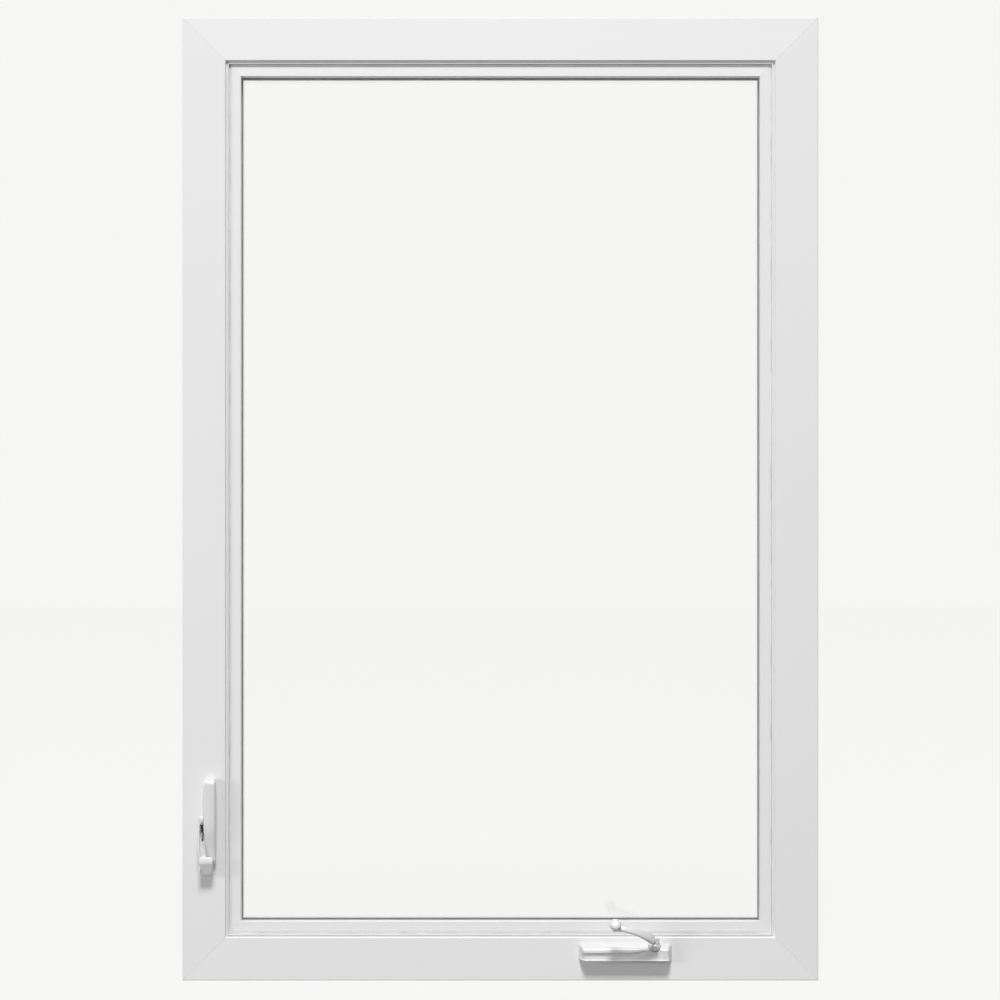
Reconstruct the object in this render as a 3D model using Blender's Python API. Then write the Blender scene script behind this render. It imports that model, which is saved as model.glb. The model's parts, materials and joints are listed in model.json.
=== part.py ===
"""Outward-opening casement window, seen from the room: frame, glazed sash, crank operator and lever lock.

World axes: +X to the right seen from the room (the hinge side), +Y to the outside, +Z up.
The origin is the centre of the sill's bottom face. Sizes are metres.

A cross-section is given in two lengths: "inset" runs from the frame's outer edge towards the
glass, and "back" runs from the frame's room-side face towards the outside.
"""

import math

import bmesh
import bpy
from mathutils import Matrix, Vector

MM = 0.001

# Overall sizes
FRAME_WIDTH = 902 * MM
FRAME_HEIGHT = 1366 * MM
FRAME_DEPTH = 83 * MM

# Gaps
GAP = 0.3 * MM
MITRE_GAP = 0.22 * MM
RUNNING = 0.25 * MM

# Frame section
FACE_WIDTH = 61 * MM
FACE_EDGE = 0.8 * MM
GROOVE_WIDTH = 2.6 * MM
GROOVE_DEPTH = 5 * MM
LIP_WIDTH = 1.6 * MM
LIP_SET_BACK = 3.5 * MM
LEG_DEPTH = 18 * MM
REBATE_FLOOR = 26 * MM
FRAME_WALL = 2.6 * MM

# Sash section
SIGHT_GAP = 2.8 * MM
SASH_FACE = 14 * MM
SASH_SET_BACK = 7 * MM
SEAL_GAP = 4 * MM
SASH_OUTSIDE_SET_BACK = 19 * MM
JAMB_CLEARANCE = 11 * MM
RAIL_CLEARANCE = 24 * MM
GLASS_LEG_DEPTH = 19 * MM
SASH_WALL = 2.2 * MM

# Glazing
PANE = 3 * MM
PANE_SPACE = 13 * MM
SEAL_THICK = 1.9 * MM
SEAL_SHOW = 1.1 * MM
SETTING_BLOCK = 2.7 * MM
SETTING_BLOCK_LENGTH = 90 * MM
SPACER_WIDTH = 7 * MM
BEAD_DEPTH = 13.2 * MM

# Hinges
PIVOT_FROM_EDGE = 12 * MM
PLATE_THICK = 2.5 * MM
PLATE_WIDTH = 22 * MM
PLATE_LENGTH = 70 * MM
PLATE_BEYOND_PIVOT = 11 * MM
HINGE_PIN_RADIUS = 4 * MM
HINGE_BUSH_WALL = 3 * MM

# Operator
OPERATOR_X = 193 * MM
OPERATOR_BACK = 12 * MM
GEAR_RADIUS = 20 * MM
GEAR_TEETH = 40
GEAR_THICK = 5 * MM
GEAR_ABOVE_FLOOR = 7.5 * MM
TOOTH_ADDENDUM = 0.9 * MM
TOOTH_DEDENDUM = 1.2 * MM
WORM_RADIUS = 5 * MM
SHAFT_RISE = math.radians(30)
ARM_WIDTH = 16 * MM
ARM_THICK = 4 * MM
ARM_ABOVE_MID = 0.5 * MM
RIVET_HEAD_RADIUS = 6.5 * MM
SASH_OPENING = math.radians(67.5)
HUB_STATION = 30 * MM
HUB_RADIUS = 8.2 * MM
SHOE_LENGTH = 22 * MM
SHOE_WIDTH = 11 * MM
SHOE_HEIGHT = 5 * MM
TRACK_WALL = 1.5 * MM
TRACK_HEIGHT = 8.5 * MM
COVER_LOW = 29.8 * MM
COVER_HEIGHT = 21.7 * MM
COVER_LENGTH = 132 * MM
COVER_RIGHT = 243 * MM
COVER_DEPTH = 20.5 * MM
COVER_WALL = 2 * MM
COVER_LEFT_SLOPE = 8.5 * MM
COVER_RIGHT_SLOPE = 6 * MM

# Crank handle, in the crank's own frame: x out along the arm, z along the shaft
CRANK_START = math.radians(10)
FOLD_HEIGHT = 12 * MM
CRANK_REACH = 58 * MM
CRANK_RISE = 44.8 * MM
ARM_END_RADIUS = 5.4 * MM
KNOB_RADIUS = 8 * MM
KNOB_LENGTH = 12.5 * MM

# Lever lock
LOCK_INSET = 31.4 * MM
LOCK_WIDTH = 16.2 * MM
LOCK_LOW = 167 * MM
LOCK_HIGH = 286 * MM
LOCK_PROUD = 20 * MM
LEVER_PIVOT_Z = 229 * MM
LEVER_PIVOT_PROUD = 11 * MM
LEVER_LENGTH = 66 * MM
LEVER_PLATE = 3.2 * MM
TIE_BAR_TRAVEL = 20 * MM
TIE_BAR_WIDTH = 14 * MM
TIE_BAR_THICK = 3 * MM
TIE_BAR_BACK = 37 * MM
LOCK_ROLLER_RADIUS = 5 * MM

# Derived lines of the section
ROOM_FACE = -FRAME_DEPTH / 2
LIP_START = FACE_WIDTH + GROOVE_WIDTH
LIP_END = LIP_START + LIP_WIDTH
SASH_FACE_START = LIP_END + SIGHT_GAP
SASH_FACE_END = SASH_FACE_START + SASH_FACE
FLANGE_BACK = LEG_DEPTH + SEAL_GAP
SASH_BACK = FRAME_DEPTH - SASH_OUTSIDE_SET_BACK
STILE_EDGE = REBATE_FLOOR + JAMB_CLEARANCE
RAIL_EDGE = REBATE_FLOOR + RAIL_CLEARANCE
GLASS_LEG_BACK = SASH_SET_BACK + GLASS_LEG_DEPTH
POCKET_FLOOR = SASH_FACE_START + 1 * MM
GLASS_EDGE = POCKET_FLOOR + GAP + SETTING_BLOCK + GAP
INNER_PANE = GLASS_LEG_BACK + GAP + SEAL_THICK + GAP
OUTER_PANE = INNER_PANE + PANE + PANE_SPACE
BEAD_BACK = OUTER_PANE + PANE + GAP
HINGE_X = FRAME_WIDTH / 2 - STILE_EDGE - PIVOT_FROM_EDGE
HINGE_BACK = SASH_BACK - PIVOT_FROM_EDGE
GEAR_LOW = REBATE_FLOOR + GEAR_ABOVE_FLOOR
GEAR_MID = GEAR_LOW + GEAR_THICK / 2
ARM_LENGTH = math.hypot(HINGE_X - OPERATOR_X, HINGE_BACK - OPERATOR_BACK)
ARM_ANGLE = math.atan2(HINGE_BACK - OPERATOR_BACK, HINGE_X - OPERATOR_X)
ARM_LOW = GEAR_MID + ARM_ABOVE_MID
SHAFT_X = OPERATOR_X + GEAR_RADIUS + WORM_RADIUS
WORM_PITCH = (2 * math.pi * GEAR_RADIUS / GEAR_TEETH) * math.cos(SHAFT_RISE) / (
    1 + GEAR_RADIUS * math.sin(SHAFT_RISE) / (GEAR_TEETH * WORM_RADIUS)
)
WORM_LEAD_ANGLE = math.atan(WORM_PITCH / (2 * math.pi * WORM_RADIUS))


def at(x, back, z):
    """A point from its place across the window, its distance behind the room face and its height."""
    return Vector((x, ROOM_FACE + back, z))


# ---------------------------------------------------------------- materials


def material(name, colour, roughness, metallic=0.0, transmission=0.0):
    made = bpy.data.materials.new(name)
    made.use_nodes = True
    shader = made.node_tree.nodes["Principled BSDF"]
    shader.inputs["Base Color"].default_value = (*colour, 1.0)
    shader.inputs["Roughness"].default_value = roughness
    shader.inputs["Metallic"].default_value = metallic
    shader.inputs["Transmission Weight"].default_value = transmission
    made.diffuse_color = (*colour, 1.0)
    return made


# ---------------------------------------------------------------- mesh helpers


def finish(name, shape, paint, origin=None, smooth=True):
    """Makes the bmesh an object whose origin is the given point, or the world origin."""
    bmesh.ops.recalc_face_normals(shape, faces=shape.faces)
    if origin is not None:
        bmesh.ops.translate(shape, verts=shape.verts, vec=-Vector(origin))
    mesh = bpy.data.meshes.new(name)
    shape.to_mesh(mesh)
    shape.free()
    mesh.materials.append(paint)
    if smooth:
        mesh.shade_smooth()
        mesh.set_sharp_from_angle(angle=math.radians(30))
    made = bpy.data.objects.new(name, mesh)
    if origin is not None:
        made.location = origin
    bpy.context.scene.collection.objects.link(made)
    return made


def helper(name, shape):
    """A shape that only cuts or joins another one."""
    made = finish(name, shape, bpy.data.materials["helper"], smooth=False)
    made.hide_render = True
    made.display_type = "WIRE"
    return made


def combine(target, operation, shape):
    """Adds a Boolean of the bmesh to the target object."""
    tool = helper(f"{target.name}_{operation.lower()}_{len(target.modifiers)}", shape)
    step = target.modifiers.new(tool.name, "BOOLEAN")
    step.operation = operation
    step.solver = "EXACT"
    step.object = tool


def cut(target, shape):
    combine(target, "DIFFERENCE", shape)


def join(target, shape):
    combine(target, "UNION", shape)


def box(low, high):
    shape = bmesh.new()
    centre = (Vector(low) + Vector(high)) / 2
    size = Vector(high) - Vector(low)
    bmesh.ops.create_cube(
        shape, size=1, matrix=Matrix.Translation(centre) @ Matrix.Diagonal((*size, 1))
    )
    return shape


def along(direction):
    """The rotation that turns +Z to the direction."""
    return Vector(direction).to_track_quat("Z", "Y").to_matrix().to_4x4()


def rod(start, end, radius, sides=24, end_radius=None):
    """A cylinder or cone between two points."""
    start = Vector(start)
    end = Vector(end)
    shape = bmesh.new()
    bmesh.ops.create_cone(
        shape,
        cap_ends=True,
        segments=sides,
        radius1=radius,
        radius2=radius if end_radius is None else end_radius,
        depth=(end - start).length,
        matrix=Matrix.Translation((start + end) / 2) @ along(end - start),
    )
    return shape


def tube(start, end, inner, outer, sides=24):
    """A closed ring between two points."""
    start = Vector(start)
    end = Vector(end)
    turn = Matrix.Translation(start) @ along(end - start)
    length = (end - start).length
    shape = bmesh.new()
    corners = [(inner, 0), (outer, 0), (outer, length), (inner, length)]
    verts = [shape.verts.new((radius, 0, height)) for radius, height in corners]
    edges = [shape.edges.new((verts[i], verts[(i + 1) % 4])) for i in range(4)]
    bmesh.ops.spin(
        shape,
        geom=verts + edges,
        cent=(0, 0, 0),
        axis=(0, 0, 1),
        angle=2 * math.pi,
        steps=sides,
        use_merge=True,
    )
    bmesh.ops.remove_doubles(shape, verts=shape.verts, dist=1e-6)
    bmesh.ops.transform(shape, matrix=turn, verts=shape.verts)
    return shape


def prism(outline, place):
    """Extrudes a flat outline. place(point, end) gives the 3D point at end 0 or 1."""
    shape = bmesh.new()
    rings = [[shape.verts.new(place(point, end)) for point in outline] for end in (0, 1)]
    count = len(outline)
    for i in range(count):
        j = (i + 1) % count
        shape.faces.new((rings[0][i], rings[0][j], rings[1][j], rings[1][i]))
    shape.faces.new(rings[0][::-1])
    shape.faces.new(rings[1])
    return shape


def arc(centre, radius, start, end, steps):
    """Points of an arc, from one angle to another in degrees, both ends included."""
    turns = [math.radians(start + (end - start) * i / steps) for i in range(steps + 1)]
    return [
        (centre[0] + radius * math.cos(turn), centre[1] + radius * math.sin(turn))
        for turn in turns
    ]


# ---------------------------------------------------------------- mitred members


def mitred(side, outline, extra=0.0):
    """A straight member on one side of the window from its section outline of (inset, back).

    Its ends run along the 45 degree lines from the frame's corners. extra lengthens both ends,
    for a cutter.
    """
    half_width = FRAME_WIDTH / 2
    half_height = FRAME_HEIGHT / 2

    def place(point, end):
        inset, back = point
        half = half_width if side in ("head", "sill") else half_height
        reach = (half - inset - MITRE_GAP + extra) * (1 if end else -1)
        if side == "sill":
            return at(reach, back, inset)
        if side == "head":
            return at(reach, back, FRAME_HEIGHT - inset)
        if side == "lock":
            return at(-half_width + inset, back, half_height + reach)
        return at(half_width - inset, back, half_height + reach)

    return prism(outline, place)


def rectangle(inset_low, inset_high, back_low, back_high):
    return [
        (inset_low, back_low),
        (inset_high, back_low),
        (inset_high, back_high),
        (inset_low, back_high),
    ]


def ring(name, outline, paint, origin=None):
    """A closed square ring round the window from one section outline, mitred at its corners."""
    half_width = FRAME_WIDTH / 2
    corners = [(-1, 0), (1, 0), (1, 1), (-1, 1)]
    shape = bmesh.new()
    loops = []
    for across, up in corners:
        loop = []
        for inset, back in outline:
            x = across * (half_width - inset)
            z = FRAME_HEIGHT - inset if up else inset
            loop.append(shape.verts.new(at(x, back, z)))
        loops.append(loop)
    count = len(outline)
    for i in range(4):
        for j in range(count):
            k = (j + 1) % count
            shape.faces.new(
                (loops[i][j], loops[i][k], loops[(i + 1) % 4][k], loops[(i + 1) % 4][j])
            )
    return finish(name, shape, paint, origin, smooth=False)


FRAME_SECTION = [
    (0, FACE_EDGE),
    (FACE_EDGE, 0),
    (FACE_WIDTH - FACE_EDGE, 0),
    (FACE_WIDTH, FACE_EDGE),
    (FACE_WIDTH, GROOVE_DEPTH),
    (LIP_START, GROOVE_DEPTH),
    (LIP_START, LIP_SET_BACK),
    (LIP_END, LIP_SET_BACK),
    (LIP_END, LEG_DEPTH),
    (REBATE_FLOOR, LEG_DEPTH),
    (REBATE_FLOOR, FRAME_DEPTH),
    (0, FRAME_DEPTH),
]

MID_WEB = HINGE_BACK - 10 * MM
FRAME_CHAMBERS = [
    rectangle(FRAME_WALL, FACE_WIDTH - FRAME_WALL, FRAME_WALL, LEG_DEPTH - FRAME_WALL),
    rectangle(FRAME_WALL, REBATE_FLOOR - FRAME_WALL, LEG_DEPTH, MID_WEB - FRAME_WALL / 2),
    rectangle(
        FRAME_WALL, REBATE_FLOOR - FRAME_WALL, MID_WEB + FRAME_WALL / 2, FRAME_DEPTH - FRAME_WALL
    ),
]


def build_frame(vinyl):
    members = {}
    names = {
        "head": "frame_head",
        "sill": "frame_sill",
        "hinge": "frame_hinge_jamb",
        "lock": "frame_lock_jamb",
    }
    for side, name in names.items():
        member = finish(name, mitred(side, FRAME_SECTION), vinyl, smooth=False)
        for chamber in FRAME_CHAMBERS:
            cut(member, mitred(side, chamber, extra=FACE_WIDTH))
        members[side] = member
    return members


def sash_section(edge):
    """The sash member's outline, for an outer edge at this inset."""
    return [
        (edge, FLANGE_BACK),
        (SASH_FACE_START, FLANGE_BACK),
        (SASH_FACE_START, SASH_SET_BACK),
        (SASH_FACE_END, SASH_SET_BACK),
        (SASH_FACE_END, GLASS_LEG_BACK),
        (POCKET_FLOOR, GLASS_LEG_BACK),
        (POCKET_FLOOR, SASH_BACK),
        (edge, SASH_BACK),
    ]


def build_sash(vinyl, hinge_point):
    names = {
        "head": "sash_top_rail",
        "sill": "sash_bottom_rail",
        "hinge": "sash_hinge_stile",
        "lock": "sash_lock_stile",
    }
    members = {}
    for side, name in names.items():
        edge = RAIL_EDGE if side in ("head", "sill") else STILE_EDGE
        outline = sash_section(edge)
        member = finish(name, mitred(side, outline), vinyl, hinge_point, smooth=False)
        flange_chamber = rectangle(
            edge + SASH_WALL,
            POCKET_FLOOR - SASH_WALL,
            GLASS_LEG_BACK + SASH_WALL,
            SASH_BACK - SASH_WALL,
        )
        face_chamber = rectangle(
            SASH_FACE_START + SASH_WALL,
            SASH_FACE_END - SASH_WALL,
            SASH_SET_BACK + SASH_WALL,
            GLASS_LEG_BACK - SASH_WALL,
        )
        for chamber in (flange_chamber, face_chamber):
            cut(member, mitred(side, chamber, extra=FACE_WIDTH))
        if edge < RAIL_EDGE:
            # The stiles end level with the rails' outer edges.
            for low, high in ((0, RAIL_EDGE), (FRAME_HEIGHT - RAIL_EDGE, FRAME_HEIGHT)):
                cut(member, box(at(-FRAME_WIDTH, 0, low), at(FRAME_WIDTH, FRAME_DEPTH, high)))
        members[side] = member
    return members


def build_glazing(vinyl, rubber, glass, spacer_metal, hinge_point):
    bead = [
        (POCKET_FLOOR + GAP, BEAD_BACK),
        (SASH_FACE_END, BEAD_BACK),
        (SASH_FACE_END, BEAD_BACK + 2 * MM),
        (SASH_FACE_END - 5 * MM, BEAD_BACK + BEAD_DEPTH),
        (POCKET_FLOOR + GAP, BEAD_BACK + BEAD_DEPTH),
    ]
    names = {"head": "top", "sill": "bottom", "hinge": "hinge_side", "lock": "lock_side"}
    for side, word in names.items():
        finish(f"glazing_bead_{word}", mitred(side, bead), vinyl, hinge_point, smooth=False)

    half = FRAME_WIDTH / 2 - GLASS_EDGE
    for name, back in (("inner_pane", INNER_PANE), ("outer_pane", OUTER_PANE)):
        low = at(-half, back, GLASS_EDGE)
        high = at(half, back + PANE, FRAME_HEIGHT - GLASS_EDGE)
        finish(name, box(low, high), glass, hinge_point, smooth=False)

    spacer_start = GLASS_EDGE + 1 * MM
    ring(
        "pane_spacer",
        rectangle(
            spacer_start, spacer_start + SPACER_WIDTH, INNER_PANE + PANE + GAP, OUTER_PANE - GAP
        ),
        spacer_metal,
        hinge_point,
    )
    ring(
        "glazing_seal",
        rectangle(
            GLASS_EDGE + GAP,
            SASH_FACE_END + SEAL_SHOW,
            GLASS_LEG_BACK + GAP,
            GLASS_LEG_BACK + GAP + SEAL_THICK,
        ),
        rubber,
        hinge_point,
    )
    for word, sign in (("left", -1), ("right", 1)):
        middle = sign * half / 2
        low = at(middle - SETTING_BLOCK_LENGTH / 2, INNER_PANE, POCKET_FLOOR + GAP)
        high = at(
            middle + SETTING_BLOCK_LENGTH / 2, OUTER_PANE + PANE, POCKET_FLOOR + GAP + SETTING_BLOCK
        )
        finish(f"setting_block_{word}", box(low, high), rubber, hinge_point, smooth=False)


def build_weatherstrip(rubber, hinge_point):
    middle = SASH_FACE_START - 12 * MM
    outline = [
        (middle - 3 * MM, FLANGE_BACK - GAP),
        (middle - 2.4 * MM, LEG_DEPTH + 1.4 * MM),
        (middle - 0.9 * MM, LEG_DEPTH + GAP),
        (middle + 0.9 * MM, LEG_DEPTH + GAP),
        (middle + 2.4 * MM, LEG_DEPTH + 1.4 * MM),
        (middle + 3 * MM, FLANGE_BACK - GAP),
    ]
    ring("sash_weatherstrip", outline, rubber, hinge_point)


# ---------------------------------------------------------------- hinges


def upright(z, top):
    """The height z above the sill's underside, or the same distance below the head's top."""
    return FRAME_HEIGHT - z if top else z


def level_plate(low_x, high_x, low_back, high_back, low_z, high_z, top):
    corners = sorted((upright(low_z, top), upright(high_z, top)))
    return box(at(low_x, low_back, corners[0]), at(high_x, high_back, corners[1]))


def level_rod(x, back, low_z, high_z, radius, top, sides=24):
    return rod(at(x, back, upright(low_z, top)), at(x, back, upright(high_z, top)), radius, sides)


def build_hinges(steel, nylon, frame, hinge_point):
    left = HINGE_X + PLATE_BEYOND_PIVOT - PLATE_LENGTH
    right = HINGE_X + PLATE_BEYOND_PIVOT
    near = HINGE_BACK - PLATE_WIDTH / 2
    far = SASH_BACK - 1 * MM
    frame_plate_top = REBATE_FLOOR + GAP + PLATE_THICK
    sash_plate_low = RAIL_EDGE - GAP - PLATE_THICK
    pin_flange = frame_plate_top + GAP
    pin_flange_top = pin_flange + 1.5 * MM
    for top, word in ((False, "lower"), (True, "upper")):
        plate = finish(
            f"{word}_hinge_frame_plate",
            level_plate(left, right, near, far, REBATE_FLOOR + GAP, frame_plate_top, top),
            steel,
            smooth=False,
        )
        stub = 2.4 * MM
        hole = level_rod(
            HINGE_X, HINGE_BACK, REBATE_FLOOR - GAP, frame_plate_top + GAP, stub + RUNNING, top
        )
        cut(plate, hole)

        pin = finish(
            f"{word}_hinge_pin",
            level_rod(HINGE_X, HINGE_BACK, pin_flange, RAIL_EDGE - GAP, HINGE_PIN_RADIUS, top),
            steel,
        )
        join(pin, level_rod(HINGE_X, HINGE_BACK, pin_flange, pin_flange_top, 7 * MM, top))
        join(
            pin,
            level_rod(HINGE_X, HINGE_BACK, REBATE_FLOOR + 2 * GAP, pin_flange + GAP, stub, top),
        )

        bush_ends = (pin_flange_top + GAP, sash_plate_low - GAP)
        bush_inner = HINGE_PIN_RADIUS + RUNNING
        bush_outer = bush_inner + HINGE_BUSH_WALL
        finish(
            f"{word}_hinge_bush",
            tube(
                at(HINGE_X, HINGE_BACK, upright(bush_ends[0], top)),
                at(HINGE_X, HINGE_BACK, upright(bush_ends[1], top)),
                bush_inner,
                bush_outer,
            ),
            nylon,
        )

        sash_plate = finish(
            f"{word}_hinge_sash_plate",
            level_plate(
                left, right, near, far, sash_plate_low, sash_plate_low + PLATE_THICK, top
            ),
            steel,
            hinge_point,
            smooth=False,
        )
        hole = level_rod(HINGE_X, HINGE_BACK, sash_plate_low - GAP, RAIL_EDGE, bush_inner, top)
        cut(sash_plate, hole)

        member = frame["head" if top else "sill"]
        for word_end, x in (("outer", HINGE_X - 20 * MM), ("inner", HINGE_X - 46 * MM)):
            screw_down(
                f"{word}_hinge_screw_{word_end}", x, HINGE_BACK, frame_plate_top, steel, top,
                (plate, member),
            )


def screw_down(name, x, back, seat, steel, top, through):
    """A pan-head screw into the sill or head, with its hole cut in what it passes through."""
    shank = 1.9 * MM
    head_low = seat + GAP
    screw = finish(
        name, level_rod(x, back, head_low, head_low + 2 * MM, 3.8 * MM, top, 16), steel
    )
    join(screw, level_rod(x, back, REBATE_FLOOR - 9 * MM, head_low + 1 * MM, shank, top, 16))
    hole_low = REBATE_FLOOR - FRAME_WALL - 1 * MM
    for piece in through:
        cut(piece, level_rod(x, back, hole_low, head_low, shank + RUNNING, top, 16))


# ---------------------------------------------------------------- operator


def shaft_point(station):
    """A point on the worm shaft's axis. Station 0 is beside the gear, and the hub is further up."""
    return at(
        SHAFT_X,
        OPERATOR_BACK - station * math.cos(SHAFT_RISE),
        GEAR_MID + station * math.sin(SHAFT_RISE),
    )


SHAFT_AXIS = Vector((0, -math.cos(SHAFT_RISE), math.sin(SHAFT_RISE)))


def on_shaft(low, high, radius, sides=24):
    return rod(shaft_point(low), shaft_point(high), radius, sides)


def worm_thread(low, high):
    """The helical ridge: its section is swept round the shaft, with a gap facing the gear at 0."""
    steps_per_turn = 20
    crest = WORM_RADIUS + TOOTH_ADDENDUM
    root = WORM_RADIUS - TOOTH_DEDENDUM
    sunk = root - 0.5 * MM
    half_root = 0.27 * WORM_PITCH
    half_crest = 0.12 * WORM_PITCH
    section = [(-half_root, sunk), (-half_root, root), (-half_crest, crest)]
    section += [(half_crest, crest), (half_root, root), (half_root, sunk)]
    first = math.ceil((low - WORM_PITCH / 2) / WORM_PITCH * steps_per_turn)
    last = math.floor((high - WORM_PITCH / 2) / WORM_PITCH * steps_per_turn)
    frame = shaft_frame(0)
    shape = bmesh.new()
    rings = []
    for step in range(first, last + 1):
        turn = 2 * math.pi * step / steps_per_turn
        rise = WORM_PITCH / 2 + WORM_PITCH * step / steps_per_turn
        loop = []
        for shift, radius in section:
            local = Vector((radius * math.cos(turn), radius * math.sin(turn), rise + shift))
            loop.append(shape.verts.new(frame @ local))
        rings.append(loop)
    count = len(section)
    for before, after in zip(rings, rings[1:]):
        for i in range(count):
            j = (i + 1) % count
            shape.faces.new((before[i], before[j], after[j], after[i]))
    shape.faces.new(rings[0][::-1])
    shape.faces.new(rings[-1])
    return shape


def shaft_frame(station, turn=0.0):
    """The frame on the shaft's axis: z up the shaft, and x level to the left, turned about z."""
    x_axis = Vector((-1, 0, 0))
    y_axis = SHAFT_AXIS.cross(x_axis)
    turned = x_axis * math.cos(turn) - y_axis * math.sin(turn)
    across = SHAFT_AXIS.cross(turned)
    turned_matrix = Matrix((turned, across, SHAFT_AXIS)).transposed().to_4x4()
    return Matrix.Translation(shaft_point(station)) @ turned_matrix


def toothed_ring(first_angle, last_angle):
    """Helical teeth on a ring round the arm's pivot, leaning to follow the worm's thread."""
    outer = GEAR_RADIUS + TOOTH_ADDENDUM
    root = GEAR_RADIUS - TOOTH_DEDENDUM
    inner = root - 3 * MM
    step = 2 * math.pi / GEAR_TEETH
    outline = []
    first = math.ceil(first_angle / step)
    last = math.floor(last_angle / step)
    for tooth in range(first, last + 1):
        middle = tooth * step
        for shift, radius in ((-0.27, root), (-0.12, outer), (0.12, outer), (0.27, root)):
            outline.append((radius, middle + shift * step))
    back_steps = 2 * (last - first)
    start = last * step + 0.27 * step
    end = first * step - 0.27 * step
    for i in range(back_steps + 1):
        outline.append((inner, start + (end - start) * i / back_steps))
    lean = math.tan(SHAFT_RISE + WORM_LEAD_ANGLE) / GEAR_RADIUS
    layers = 3
    shape = bmesh.new()
    loops = []
    for layer in range(layers):
        height = GEAR_THICK * layer / (layers - 1)
        twist = (height - GEAR_THICK / 2) * lean
        loop = []
        for radius, angle in outline:
            turn = angle + twist
            x = OPERATOR_X + radius * math.cos(turn)
            back = OPERATOR_BACK + radius * math.sin(turn)
            loop.append(shape.verts.new(at(x, back, GEAR_LOW + height)))
        loops.append(loop)
    count = len(outline)
    for before, after in zip(loops, loops[1:]):
        for i in range(count):
            j = (i + 1) % count
            shape.faces.new((before[i], before[j], after[j], after[i]))
    shape.faces.new(loops[0][::-1])
    shape.faces.new(loops[-1])
    return shape


def arm_sweep(clearance, low, high):
    """The room above the base that the arm passes through on its way to fully open."""
    opened = math.pi - ARM_ANGLE - 2 * SASH_OPENING
    heading = Vector((math.cos(opened), math.sin(opened)))
    edge = Vector((heading.y, -heading.x)) * (ARM_WIDTH / 2 + clearance)
    reach = 4 * GEAR_RADIUS
    near = edge - heading * ARM_WIDTH / 2
    far = edge + heading * reach
    outline = [near, far, Vector((far.x, reach * 2)), Vector((-reach, reach * 2))]
    outline += [Vector((-reach, near.y))]

    def place(point, end):
        return at(OPERATOR_X + point.x, OPERATOR_BACK + point.y, high if end else low)

    return prism(outline, place)


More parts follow.
